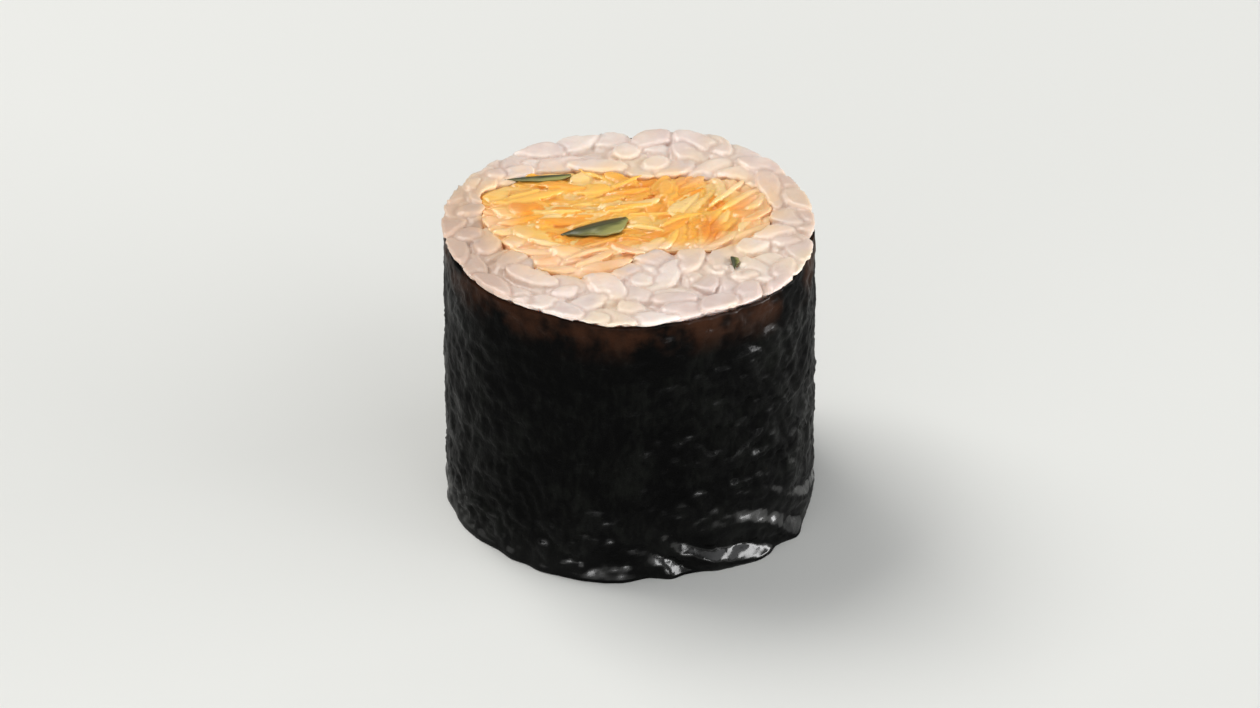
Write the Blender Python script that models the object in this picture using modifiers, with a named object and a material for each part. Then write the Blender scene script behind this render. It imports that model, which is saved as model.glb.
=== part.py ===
"""One piece of hosomaki, the thin sushi roll, standing on its lower cut face.

A sheet of nori goes once round a ring of sushi rice and overlaps itself along a seam.
A filling of chopped orange fish runs through the middle, and slivers of chive lie in the
upper cut face. Rice and filling are each a core with the grains and shreds that show at
the knife cuts fused on.

Units are metres and +Z is up, along the roll. +X is the long axis of the oval section, -Y
is the front, and the origin is the middle of the face that the piece stands on.
"""

import math
import random

import bmesh
import bpy
from mathutils import Euler, Matrix, Vector, noise

# Driving sizes of the roll.
ROLL_WIDTH = 0.0293  # across the nori, along X
ROLL_DEPTH = 0.0267  # across the nori, along Y
ROLL_SQUARENESS = 2.11  # 2 is an ellipse
ROLL_HEIGHT = 0.0252  # from one knife cut to the other
ROLL_LOBES = ((3, 0.008, -2.6), (4, 0.015, 1.2), (5, 0.010, 1.6), (7, 0.008, -1.3))
ROLL_TWIST = math.radians(12)  # of the lobes, from the lower cut to the upper
ROLL_BARREL = 0.012  # how much wider the roll is half way up
GAP = 0.0003  # left between neighbouring solids

# The nori sheet, wrapped from its inner end to its outer end.
NORI_THICKNESS = 0.0004
NORI_FOOT = 0.00005  # its lower edge is this far above the ground
NORI_HEIGHT = 0.0244  # the rice swells over its upper edge
NORI_EDGE_WAVE = 0.00015
NORI_EDGE_WAVES = (9, 4)  # swells along the upper edge, of two kinds
NORI_LAP_STEP = NORI_THICKNESS + 0.0002  # how far the lap rides out over the first layer
NORI_INNER_END = math.radians(40)
NORI_LAP = math.radians(62)
NORI_END_WAVE = math.radians(1.6)  # of the outer end, which isn't cut quite straight
NORI_END_WAVE_TURN = 5  # radians of that wave from the lower cut to the upper
NORI_END_WAVE_START = 1  # its phase at the lower cut
NORI_RAMP = math.radians(50)  # turned while the sheet climbs onto its own beginning
NORI_DIMPLE = 0.00011
NORI_DIMPLE_SIZE = 0.0034
NORI_STEPS_ROUND = 90
NORI_STEPS_UP = 6

# The rice. Its grains swell out over the nori at the upper cut.
RICE_CORE_INSET = 0.0002
RICE_LIP = 0.0002  # beyond the nori
RICE_LIP_BOTTOM = NORI_HEIGHT + NORI_EDGE_WAVE + GAP
RICE_TOP_RECESS = 0.0005  # from the knife cut down to the core between grains
RICE_FOOT_RECESS = 0.0003
GRAIN_LENGTH = 0.0056
GRAIN_THICKNESS = 0.0027
GRAIN_SIZE_SPREAD = 0.12
GRAIN_TILT = math.radians(24)
GRAIN_FACETS = (6, 4)  # round it and along it
GRAIN_FILLING_MARGIN = GRAIN_THICKNESS / 4  # a grain's middle stays this far off the filling
RIM_GRAINS = 26
RIM_GRAIN_INSET = 0.0008
RIM_GRAIN_DRIFT = 0.2  # along the rim, as a share of the distance between two of them
RIM_GRAIN_FAN = 0.4  # radians to either side of the rim's own direction
RIM_GRAIN_STRAYS = (0, 0, 0, 1)  # radians that are added: one grain in four lies askew
FIELD_GRAINS = 60  # spread over the whole oval, before those on the filling are dropped
FIELD_INSET = 0.0029
GRAIN_CUT_DEPTH = (-0.0001, 0.0008)  # the knife plane is this far below a grain's own top
RICE_LEVELS = 4  # steps in height of the core

# The filling. Its section is a flat oval, fuller at the left and set back from the middle.
FILLING_HALF_WIDTH = 0.0118
FILLING_HALF_DEPTH = 0.0065
FILLING_SQUARENESS = 2.4
FILLING_CENTRE = Vector((-0.0003, 0.0010, 0.0))
FILLING_LOBES = (
    (1, 0.092, -2.60),
    (2, 0.091, -1.76),
    (3, 0.128, -0.52),
    (4, 0.048, 1.86),
    (5, 0.034, -2.94),
)
FILLING_TWIST = math.radians(14)
FILLING_CORE_INSET = 0.0004
FILLING_TOP_RECESS = 0.0006
SHRED_LENGTH = 0.0062
SHRED_LENGTH_SPREAD = (-0.35, 0.25)
SHRED_THICKNESS = 0.00135
SHRED_THICKNESS_SPREAD = (-0.2, 0.3)
SHRED_BREADTH = 1.2  # its width, in thicknesses
SHRED_RISE = (-0.0003, 0.0002)  # of its top, over the knife plane
SHRED_FACETS = (5, 5)
SHRED_FAN = math.radians(26)  # how far a shred turns from the X axis
SHRED_TILT = math.radians(9)
SHREDS = 52
SHRED_INSET = 0.0009

# The slivers of chive, each (length, width, thickness), (x, y) and turn about Z.
CHIVES = {
    "chive_leaf": ((0.0057, 0.0019, 0.0012), (-0.0025, -0.0007), math.radians(26)),
    "chive_strip": ((0.0054, 0.0011, 0.0010), (-0.0073, 0.0063), math.radians(9)),
    "chive_fleck": ((0.0015, 0.0009, 0.0009), (0.0084, -0.0053), math.radians(70)),
}
CHIVE_TOP_DROP = 0.00005  # below the upper knife cut
CHIVE_FACETS = (8, 8)

SECTION_STEPS = 64  # sides of the oval solids
BEYOND = 0.004  # how far a cutter reaches past what it cuts
TOUCHING = 1e-7  # points closer than this are one
SHARP_ANGLE = math.radians(40)
GOLDEN_ANGLE = math.pi * (3 - math.sqrt(5))
SEED = 8

MATERIALS = {  # linear colour, roughness
    "nori": ((0.010, 0.013, 0.010), 0.42),
    "rice": ((0.80, 0.75, 0.69), 0.38),
    "filling": ((0.86, 0.36, 0.07), 0.35),
    "chive": ((0.055, 0.115, 0.022), 0.40),
}


# Sections of the roll.


def lobed(angle, lobes):
    """A factor near 1 that makes an oval uneven. A lobe is its order, share and phase."""
    return 1 + sum(share * math.cos(order * angle + phase) for order, share, phase in lobes)


def twisted(angle, height, twist):
    """The angle at the upper cut of what lies at this angle at this height."""
    return angle - twist * (height / ROLL_HEIGHT - 1)


def superellipse(angle, half_width, half_depth, squareness):
    across = abs(math.cos(angle) / half_width) ** squareness
    along = abs(math.sin(angle) / half_depth) ** squareness
    return (across + along) ** (-1 / squareness)


def barrel(height):
    """Factor on the section: the roll is widest half way up."""
    share = min(max(height / ROLL_HEIGHT, 0), 1)
    return 1 - ROLL_BARREL * (2 * share - 1) ** 2


def roll_radius(angle, height):
    """Outer surface of a single layer of nori."""
    oval = superellipse(angle, ROLL_WIDTH / 2, ROLL_DEPTH / 2, ROLL_SQUARENESS)
    return oval * lobed(twisted(angle, height, ROLL_TWIST), ROLL_LOBES) * barrel(height)


def rice_radius(angle, height):
    return roll_radius(angle, height) - NORI_THICKNESS - GAP


def envelope_radius(angle, height):
    """What the rice may fill: inside the nori, then over its upper edge."""
    if height < RICE_LIP_BOTTOM - GAP / 2:
        return rice_radius(angle, height)
    return roll_radius(angle, height) + RICE_LIP


def filling_radius(angle, height):
    turned = twisted(angle, height, FILLING_TWIST)
    oval = superellipse(turned, FILLING_HALF_WIDTH, FILLING_HALF_DEPTH, FILLING_SQUARENESS)
    return oval * lobed(turned, FILLING_LOBES)


def inside_filling(point, height, margin):
    """True where a point of the section at this height lies within margin of the filling."""
    offset = (point - FILLING_CENTRE).to_2d()
    angle = math.atan2(offset.y, offset.x)
    return offset.length < filling_radius(angle, height) + margin


# Blender helpers.


def clear_scene():
    for obj in list(bpy.data.objects):
        bpy.data.objects.remove(obj, do_unlink=True)


def new_collection(name, helper=False):
    collection = bpy.data.collections.new(name)
    collection.hide_render = helper
    bpy.context.scene.collection.children.link(collection)
    return collection


def material(name):
    colour, roughness = MATERIALS[name]
    made = bpy.data.materials.get(name) or bpy.data.materials.new(name)
    made.use_nodes = True
    shader = made.node_tree.nodes["Principled BSDF"]
    shader.inputs["Base Color"].default_value = (*colour, 1)
    shader.inputs["Roughness"].default_value = roughness
    shader.inputs["Metallic"].default_value = 0
    return made


def object_from(bm, name, collection):
    mesh = bpy.data.meshes.new(name)
    bm.to_mesh(mesh)
    bm.free()
    obj = bpy.data.objects.new(name, mesh)
    collection.objects.link(obj)
    return obj


def as_cutter(obj):
    obj.hide_render = True
    obj.display_type = "WIRE"
    return obj


def section_solid(name, collection, radius, levels, centre=None):
    """A cylinder with an edge loop at each level, pushed out to radius(angle, height)."""
    centre = centre or Vector((0, 0, 0))
    bm = bmesh.new()
    middle = Matrix.Translation((0, 0, (levels[0] + levels[-1]) / 2))
    bmesh.ops.create_cone(
        bm,
        cap_ends=True,
        segments=SECTION_STEPS,
        radius1=1,
        radius2=1,
        depth=levels[-1] - levels[0],
        matrix=middle,
    )
    for height in levels[1:-1]:
        everything = bm.verts[:] + bm.edges[:] + bm.faces[:]
        bmesh.ops.bisect_plane(
            bm, geom=everything, dist=TOUCHING, plane_co=(0, 0, height), plane_no=(0, 0, 1)
        )
    for vert in bm.verts:
        angle = math.atan2(vert.co.y, vert.co.x)
        reach = radius(angle, vert.co.z)
        vert.co.x = centre.x + reach * math.cos(angle)
        vert.co.y = centre.y + reach * math.sin(angle)
    return object_from(bm, name, collection)


def boolean(obj, operation, other):
    """Joins or cuts obj by another object or by all of a collection, and applies it."""
    modifier = obj.modifiers.new(operation.lower(), "BOOLEAN")
    modifier.operation = operation
    modifier.solver = "EXACT"
    if isinstance(other, bpy.types.Collection):
        modifier.operand_type = "COLLECTION"
        modifier.collection = other
    else:
        modifier.object = other
    bpy.context.view_layer.update()
    graph = bpy.context.evaluated_depsgraph_get()
    result = bpy.data.meshes.new_from_object(obj.evaluated_get(graph))
    obj.modifiers.clear()
    obj.data = result


def drop_collection(collection):
    for obj in list(collection.objects):
        bpy.data.objects.remove(obj, do_unlink=True)
    bpy.data.collections.remove(collection)


def keep_main_shell(obj):
    """Drops loose scraps and fills the small hollows that fusing has sealed."""
    bm = bmesh.new()
    bm.from_mesh(obj.data)
    unseen = set(bm.verts)
    shells = []
    while unseen:
        queue = [unseen.pop()]
        shell = set(queue)
        while queue:
            for edge in queue.pop().link_edges:
                for vert in edge.verts:
                    if vert in unseen:
                        unseen.remove(vert)
                        shell.add(vert)
                        queue.append(vert)
        shells.append(shell)
    shells.sort(key=len)
    for shell in shells[:-1]:
        bmesh.ops.delete(bm, geom=list(shell), context="VERTS")
    bm.to_mesh(obj.data)
    bm.free()


def finish(obj, finish_name):
    obj.data.materials.clear()
    obj.data.materials.append(material(finish_name))
    obj.data.shade_smooth()
    obj.data.set_sharp_from_angle(angle=SHARP_ANGLE)


# Small pieces that are fused to a core.


def ellipsoid_mesh(name, facets):
    bm = bmesh.new()
    bmesh.ops.create_uvsphere(bm, u_segments=facets[0], v_segments=facets[1], radius=0.5)
    bmesh.ops.rotate(bm, verts=bm.verts, matrix=Matrix.Rotation(math.pi / 2, 3, "Y"))
    mesh = bpy.data.meshes.new(name)
    bm.to_mesh(mesh)
    bm.free()
    return mesh


def place(mesh, collection, place_at, turn, size):
    obj = bpy.data.objects.new(mesh.name, mesh)
    obj.location = place_at
    obj.rotation_euler = turn
    obj.scale = size
    collection.objects.link(obj)
    return obj


def grain_spots(draw, cut):
    """Places of the grains at a cut, with the turn of each: a rim of them, then the field."""
    for index in range(RIM_GRAINS):
        drift = draw.uniform(-RIM_GRAIN_DRIFT, RIM_GRAIN_DRIFT)
        angle = 2 * math.pi * (index + drift) / RIM_GRAINS
        reach = rice_radius(angle, cut) - RIM_GRAIN_INSET
        stray = draw.choice(RIM_GRAIN_STRAYS) + draw.uniform(-RIM_GRAIN_FAN, RIM_GRAIN_FAN)
        turn = angle + math.pi / 2 + stray
        yield Vector((reach * math.cos(angle), reach * math.sin(angle), 0)), turn
    for index in range(FIELD_GRAINS):
        angle = index * GOLDEN_ANGLE
        share = math.sqrt((index + 0.5) / FIELD_GRAINS)
        reach = (rice_radius(angle, cut) - FIELD_INSET) * share
        spot = Vector((reach * math.cos(angle), reach * math.sin(angle), 0))
        if not inside_filling(spot, cut, GRAIN_FILLING_MARGIN):
            yield spot, draw.uniform(0, math.pi)


def scatter_grains(collection):
    """Grains at both cuts, each reaching up or down through the knife plane."""
    draw = random.Random(SEED)
    mesh = ellipsoid_mesh("grain", GRAIN_FACETS)
    for cut, outward in ((ROLL_HEIGHT, 1), (0.0, -1)):
        for spot, turn in grain_spots(draw, cut):
            grown = 1 + draw.uniform(-GRAIN_SIZE_SPREAD, GRAIN_SIZE_SPREAD)
            thick = GRAIN_THICKNESS * grown
            spot.z = cut + outward * (draw.uniform(*GRAIN_CUT_DEPTH) - thick / 2)
            tilt = Euler((0, draw.uniform(-GRAIN_TILT, GRAIN_TILT), turn))
            place(mesh, collection, spot, tilt, (GRAIN_LENGTH * grown, thick, thick))


def scatter_shreds(collection):
    """Shreds of fish at the upper cut, lying roughly along the filling."""
    draw = random.Random(SEED + 1)
    mesh = ellipsoid_mesh("shred", SHRED_FACETS)
    for index in range(SHREDS):
        angle = index * GOLDEN_ANGLE
        share = math.sqrt((index + 0.5) / SHREDS)
        reach = (filling_radius(angle, ROLL_HEIGHT) - SHRED_INSET) * share
        spot = FILLING_CENTRE + Vector((reach * math.cos(angle), reach * math.sin(angle), 0))
        length = SHRED_LENGTH * (1 + draw.uniform(*SHRED_LENGTH_SPREAD))
        thick = SHRED_THICKNESS * (1 + draw.uniform(*SHRED_THICKNESS_SPREAD))
        spot.z = ROLL_HEIGHT - thick / 2 + draw.uniform(*SHRED_RISE)
        tilt = draw.uniform(-SHRED_TILT, SHRED_TILT)
        turn = draw.uniform(-SHRED_FAN, SHRED_FAN)
        size = (length, thick * SHRED_BREADTH, thick)
        place(mesh, collection, spot, Euler((0, tilt, turn)), size)


# The pieces of the roll.


def wrap_point(along, height):
    """A point in the middle of the nori sheet, at a share of its length from the inner end."""
    phase = NORI_END_WAVE_TURN * height / ROLL_HEIGHT + NORI_END_WAVE_START
    turned = along * (2 * math.pi + NORI_LAP + NORI_END_WAVE * math.sin(phase))
    angle = NORI_INNER_END + turned
    climb = min(max((turned - (2 * math.pi - NORI_RAMP)) / NORI_RAMP, 0), 1)
    climb = climb * climb * (3 - 2 * climb) * NORI_LAP_STEP
    spot = Vector((math.cos(angle), math.sin(angle), height / NORI_DIMPLE_SIZE))
    spot.x *= roll_radius(angle, height) / NORI_DIMPLE_SIZE
    spot.y *= roll_radius(angle, height) / NORI_DIMPLE_SIZE
    dimple = NORI_DIMPLE * noise.noise(spot)
    reach = roll_radius(angle, height) - NORI_THICKNESS / 2 + climb + dimple
    return Vector((reach * math.cos(angle), reach * math.sin(angle), height))


def build_nori(collection):
    """A flat sheet, rolled up round the rice and then given its thickness."""
    bm = bmesh.new()
    bmesh.ops.create_grid(bm, x_segments=NORI_STEPS_ROUND, y_segments=NORI_STEPS_UP, size=0.5)
    for vert in bm.verts:
        along = vert.co.x + 0.5
        up = vert.co.y + 0.5
        first, second = (count * math.tau * along for count in NORI_EDGE_WAVES)
        wave = math.sin(first) * math.cos(second)
        top = NORI_HEIGHT + NORI_EDGE_WAVE * wave
        vert.co = wrap_point(along, NORI_FOOT + up * (top - NORI_FOOT))
    bmesh.ops.recalc_face_normals(bm, faces=bm.faces)
    nori = object_from(bm, "nori_wrap", collection)
    shell = nori.modifiers.new("sheet", "SOLIDIFY")
    shell.thickness = NORI_THICKNESS
    shell.offset = 0
    finish(nori, "nori")
    return nori


def build_rice(collection, cutters, slots):
    """A core with the grains of both cuts, trimmed by the nori, the knife and the filling."""
    low = RICE_FOOT_RECESS
    high = ROLL_HEIGHT - RICE_TOP_RECESS
    levels = [low + (high - low) * step / RICE_LEVELS for step in range(RICE_LEVELS + 1)]
    rice = section_solid(
        "rice",
        collection,
        lambda angle, height: rice_radius(angle, height) - RICE_CORE_INSET,
        levels,
    )
    grains = new_collection("grains", helper=True)
    scatter_grains(grains)
    boolean(rice, "UNION", grains)
    drop_collection(grains)

    under_lip = RICE_LIP_BOTTOM - GAP
    levels = [under_lip * step / RICE_LEVELS for step in range(RICE_LEVELS + 1)]
    levels += [RICE_LIP_BOTTOM, ROLL_HEIGHT]
    envelope = section_solid("rice_envelope", cutters, envelope_radius, levels)
    boolean(rice, "INTERSECT", as_cutter(envelope))

    levels = [-BEYOND, 0, ROLL_HEIGHT / 2, ROLL_HEIGHT, ROLL_HEIGHT + BEYOND]
    core_hole = section_solid(
        "core_hole",
        cutters,
        lambda angle, height: filling_radius(angle, height) + GAP,
        levels,
        FILLING_CENTRE,
    )
    boolean(rice, "DIFFERENCE", as_cutter(core_hole))
    boolean(rice, "DIFFERENCE", slots)
    keep_main_shell(rice)
    finish(rice, "rice")
    return rice


def chive_solid(name, collection, size, spot, turn, grow=0.0, reach_up=0.0):
    """A lens with pointed ends. A cutter for it is grown all round and reaches up."""
    bm = bmesh.new()
    bm.from_mesh(ellipsoid_mesh(name, CHIVE_FACETS))
    scale = [side + 2 * grow for side in size]
    bmesh.ops.scale(bm, verts=bm.verts, vec=scale)
    for vert in bm.verts:
        if vert.co.z > GAP / 2:
            vert.co.z += reach_up
    chive = object_from(bm, name, collection)
    chive.location = (*spot, ROLL_HEIGHT - CHIVE_TOP_DROP - size[2] / 2)
    chive.rotation_euler.z = turn
    return chive


def build_filling(collection, cutters, slots):
    """A core with shreds at the upper cut."""
    levels = [0, ROLL_HEIGHT / 2, ROLL_HEIGHT - FILLING_TOP_RECESS]
    filling = section_solid(
        "filling",
        collection,
        lambda angle, height: filling_radius(angle, height) - FILLING_CORE_INSET,
        levels,
        FILLING_CENTRE,
    )
    shreds = new_collection("shreds", helper=True)
    scatter_shreds(shreds)
    boolean(filling, "UNION", shreds)
    drop_collection(shreds)
    levels = [-BEYOND, 0, ROLL_HEIGHT / 2, ROLL_HEIGHT]
    envelope = section_solid(
        "filling_envelope", cutters, filling_radius, levels, FILLING_CENTRE
    )
    boolean(filling, "INTERSECT", as_cutter(envelope))
    boolean(filling, "DIFFERENCE", slots)
    keep_main_shell(filling)
    finish(filling, "filling")
    return filling


def main():
    clear_scene()
    roll = new_collection("hosomaki")
    cutters = new_collection("cutters", helper=True)
    slots = new_collection("chive_slots", helper=True)
    for name, (size, spot, turn) in CHIVES.items():
        finish(chive_solid(name, roll, size, spot, turn), "chive")
        as_cutter(chive_solid(name + "_slot", slots, size, spot, turn, GAP, BEYOND))
    build_nori(roll)
    build_rice(roll, cutters, slots)
    build_filling(roll, cutters, slots)


if __name__ == "__main__":
    main()
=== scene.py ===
"""Dresses one piece of hosomaki: moist nori, packed rice grains, orange filling and chives.

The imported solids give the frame. Each of them is replaced by a finer piece that keeps its
form: grains and shreds are scattered by Geometry Nodes, pressed against the nori and the
knife, and fused into one sticky surface. Units are metres, and +Z is up along the roll.
"""

import logging
import math
from dataclasses import dataclass, field
from enum import Enum
from typing import Any, Callable

import bmesh
import bpy
import numpy as np
from mathutils import Euler, Matrix, Vector
from mathutils.bvhtree import BVHTree

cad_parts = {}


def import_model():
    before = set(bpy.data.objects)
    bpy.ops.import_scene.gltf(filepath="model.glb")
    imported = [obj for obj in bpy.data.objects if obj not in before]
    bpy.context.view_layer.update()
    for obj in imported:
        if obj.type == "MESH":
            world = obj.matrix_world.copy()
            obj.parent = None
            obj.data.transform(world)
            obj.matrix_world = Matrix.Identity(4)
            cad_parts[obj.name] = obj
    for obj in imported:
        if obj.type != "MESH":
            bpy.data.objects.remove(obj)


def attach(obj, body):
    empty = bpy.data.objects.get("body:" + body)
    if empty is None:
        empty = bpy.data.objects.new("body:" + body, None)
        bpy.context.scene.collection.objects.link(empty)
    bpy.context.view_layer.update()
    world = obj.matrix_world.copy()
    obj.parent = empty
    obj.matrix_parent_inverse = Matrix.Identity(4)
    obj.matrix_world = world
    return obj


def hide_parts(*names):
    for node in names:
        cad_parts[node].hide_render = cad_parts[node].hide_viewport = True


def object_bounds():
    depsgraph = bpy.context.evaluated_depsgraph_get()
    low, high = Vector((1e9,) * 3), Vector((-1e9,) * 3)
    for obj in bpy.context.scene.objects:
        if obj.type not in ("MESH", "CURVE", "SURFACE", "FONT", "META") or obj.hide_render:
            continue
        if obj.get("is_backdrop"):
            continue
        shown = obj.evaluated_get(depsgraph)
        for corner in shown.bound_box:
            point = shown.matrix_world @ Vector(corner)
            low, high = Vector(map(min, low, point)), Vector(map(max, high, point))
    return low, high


log = logging.getLogger("hosomaki")

BODY = "root"
MM = 0.001
SPOT_CORE = 0.3  # the share of a painted spot's radius that is at full strength
LEAST_SHELL = 500  # vertices, below which a loose shell of a fused skin is a crumb
SAME_TONE = 1e-4  # tones that differ by less belong to one piece
BED_STEPS = 72  # faces round a bed
SOLID_STEPS = 96  # faces round a solid
MOST_PIECES = 4e6  # per square metre, more than any spacing here lets lie
SLACK_SIDE = math.radians(-46)  # where round the roll the nori hangs slack
SLACK_HEIGHT = 5.0 * MM  # how high up it does
Colour = tuple[float, float, float]
Triple = tuple[float, float, float]
Range = tuple[float, float]


class Slot(Enum):
    """The finish slots that the pieces are given."""

    NORI = "nori"
    RICE = "rice"
    FILLING = "filling"
    CHIVE = "chive"


class Cut(Enum):
    """The two knife cuts, each with the sign of the way it faces along Z."""

    LOWER = -1
    UPPER = 1


# Node trees.


class Wire:
    """An output socket, with arithmetic that adds Math nodes to its tree."""

    def __init__(self, graph: "Graph", socket: bpy.types.NodeSocket | None) -> None:
        """Wraps a socket of a graph."""
        self.graph = graph
        self.socket = socket

    def _math(self, operation: str, first: Any, second: Any) -> "Wire":
        """One Math node of two inputs."""
        return self.graph.node("ShaderNodeMath", {"operation": operation}, {0: first, 1: second})

    def math(self, operation: str, other: Any = 0.0) -> "Wire":
        """self and a second value through a Math node."""
        return self._math(operation, self, other)

    def axis(self, name: str) -> "Wire":
        """The X, Y or Z of a vector."""
        return self.graph.node("ShaderNodeSeparateXYZ", {}, {0: self}, name)

    def __add__(self, other: Any) -> "Wire":
        """self + other."""
        return self._math("ADD", self, other)

    __radd__ = __add__

    def __sub__(self, other: Any) -> "Wire":
        """self - other."""
        return self._math("SUBTRACT", self, other)

    def __rsub__(self, other: Any) -> "Wire":
        """other - self."""
        return self._math("SUBTRACT", other, self)

    def __mul__(self, other: Any) -> "Wire":
        """self * other."""
        return self._math("MULTIPLY", self, other)

    __rmul__ = __mul__

    def __rtruediv__(self, other: Any) -> "Wire":
        """other / self."""
        return self._math("DIVIDE", other, self)

    def ramp(self, low: float, high: float) -> "Wire":
        """0 below low, 1 above high and a smooth step between them.

        Args:
            low: the value up to which it is 0.
            high: the value from which it is 1.

        Returns:
            The wire of the step.
        """
        settings = {"interpolation_type": "SMOOTHSTEP"}
        places = {"Value": self, "From Min": low, "From Max": high}
        return self.graph.node("ShaderNodeMapRange", settings, places)


class Graph:
    """A shader or geometry node tree that is written as expressions."""

    def __init__(self, tree: bpy.types.NodeTree) -> None:
        """Starts from an empty tree."""
        self.tree = tree
        tree.nodes.clear()

    @staticmethod
    def _socket(sockets: Any, key: str | int) -> bpy.types.NodeSocket:
        """The socket of that index, or the one of that name that is in use."""
        if isinstance(key, int):
            return sockets[key]
        return next(socket for socket in sockets if socket.name == key and socket.enabled)

    def node(
        self,
        kind: str,
        settings: dict[str, Any] | None = None,
        inputs: dict[str | int, Any] | None = None,
        output: str | int = 0,
    ) -> Wire:
        """Adds a node.

        Args:
            kind: the node's type.
            settings: its properties, set first. "stops" are a colour ramp's.
            inputs: a value or a Wire for each socket, by name or index.
            output: the output that is returned.

        Returns:
            The wire of that output.
        """
        made = self.tree.nodes.new(kind)
        for name, value in (settings or {}).items():
            if name == "stops":
                self._set_stops(made.color_ramp, value)
            else:
                setattr(made, name, value)
        for key, value in (inputs or {}).items():
            socket = self._socket(made.inputs, key)
            if isinstance(value, Wire):
                self.tree.links.new(value.socket, socket)
            else:
                socket.default_value = value
        if not made.outputs:
            return Wire(self, None)
        return Wire(self, self._socket(made.outputs, output))

    @staticmethod
    def _set_stops(ramp: bpy.types.ColorRamp, stops: list[tuple[float, Colour]]) -> None:
        """Gives a colour ramp these stops and no others."""
        while len(ramp.elements) > 1:
            ramp.elements.remove(ramp.elements[-1])
        for index, (place, colour) in enumerate(stops):
            stop = ramp.elements[0] if index == 0 else ramp.elements.new(place)
            stop.position = place
            stop.color = (*colour, 1.0)

    def mix(self, share: Any, first: Any, second: Any) -> Wire:
        """One colour mixed into another.

        Args:
            share: how much of the second shows.
            first: the colour below, as three numbers or a wire.
            second: the colour on top.

        Returns:
            The mixed colour.
        """
        below, above = (c if isinstance(c, Wire) else (*c, 1.0) for c in (first, second))
        inputs = {"Factor": share, "A": below, "B": above}
        return self.node("ShaderNodeMix", {"data_type": "RGBA"}, inputs, "Result")

    def layer(self, name: str) -> Wire:
        """A number that the mesh stores at each vertex."""
        return self.node("ShaderNodeAttribute", {"attribute_name": name}, output="Fac")

    def noise(self, place: Wire, size: float, detail: float, seed: float) -> Wire:
        """Soft noise around 0.5.

        Args:
            place: the coordinates, in metres.
            size: the width of its patches.
            detail: how many finer octaves it has.
            seed: picks one pattern among many.

        Returns:
            Its value.
        """
        inputs = {"Vector": place, "W": seed, "Scale": 1 / size, "Detail": detail}
        return self.node("ShaderNodeTexNoise", {"noise_dimensions": "4D"}, inputs)

    def local(
        self, place: Wire, scale: Triple, turn: float = 0.0, centre: Triple = (0.0, 0.0, 0.0)
    ) -> Wire:
        """Coordinates about a centre, turned about Z and in units of their own for each axis.

        Args:
            place: the coordinates, in metres.
            scale: the unit along each axis. A pattern is drawn out along the larger ones.
            turn: how far the axes are turned about Z.
            centre: where they start.

        Returns:
            The new coordinates.
        """
        inputs = {"Vector": place, "Location": centre, "Rotation": (0.0, 0.0, turn), "Scale": scale}
        return self.node("ShaderNodeMapping", {"vector_type": "TEXTURE"}, inputs)

    def spot(self, place: Wire, centre: Triple, radii: Triple) -> Wire:
        """1 in the middle of an ellipsoid, falling to 0 at its surface.

        Args:
            place: the coordinates, in metres.
            centre: the ellipsoid's centre.
            radii: its radius along each axis.

        Returns:
            The wire of the spot.
        """
        near = self.local(place, radii, centre=centre)
        apart = self.node("ShaderNodeVectorMath", {"operation": "LENGTH"}, {0: near}, "Value")
        return 1 - apart.ramp(SPOT_CORE, 1.0)

    def end(self, geometry: Wire, name: str, material: bpy.types.Material) -> None:
        """Ends a Geometry Nodes tree with real faces of one material.

        Args:
            geometry: what the tree makes.
            name: the tree's output.
            material: the material of all its faces.
        """
        real = self.node("GeometryNodeRealizeInstances", {}, {"Geometry": geometry})
        dressed = self.node("GeometryNodeSetMaterial", {}, {"Geometry": real, "Material": material})
        self.node("NodeGroupOutput", {}, {name: dressed})


@dataclass(frozen=True)
class Input:
    """A named input of a Geometry Nodes tree: the kind of its socket, and its value if set."""

    kind: str
    value: Any = None


def geometry_tree(name: str, inputs: dict[str, Input], output: str) -> tuple[Graph, dict[str, Wire]]:
    """Starts a Geometry Nodes tree.

    Args:
        name: the tree's name.
        inputs: its named inputs.
        output: the name of the geometry that it makes.

    Returns:
        The tree as a graph, and a wire for each input.
    """
    tree = bpy.data.node_groups.new(name, "GeometryNodeTree")
    for label, given in inputs.items():
        tree.interface.new_socket(label, in_out="INPUT", socket_type="NodeSocket" + given.kind)
    tree.interface.new_socket(output, in_out="OUTPUT", socket_type="NodeSocketGeometry")
    graph = Graph(tree)
    return graph, {label: graph.node("NodeGroupInput", output=label) for label in inputs}


def put_tree(obj: bpy.types.Object, tree: bpy.types.NodeTree, inputs: dict[str, Input]) -> None:
    """Puts a tree on an object, with the values of its inputs.

    Args:
        obj: the object, which hasn't been evaluated yet.
        tree: the Geometry Nodes tree.
        inputs: its named inputs.
    """
    modifier = obj.modifiers.new(tree.name, "NODES")
    modifier.node_group = tree
    for item in tree.interface.items_tree:
        if item.in_out == "INPUT" and inputs[item.name].value is not None:
            modifier[item.identifier] = inputs[item.name].value


# Finishes.


def srgb(red: int, green: int, blue: int) -> Colour:
    """A colour as seen on screen, in the linear values that a shader takes."""

    def linear(part: int) -> float:
        """One channel."""
        share = part / 255
        return share / 12.92 if share <= 0.04045 else ((share + 0.055) / 1.055) ** 2.4

    return linear(red), linear(green), linear(blue)


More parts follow.
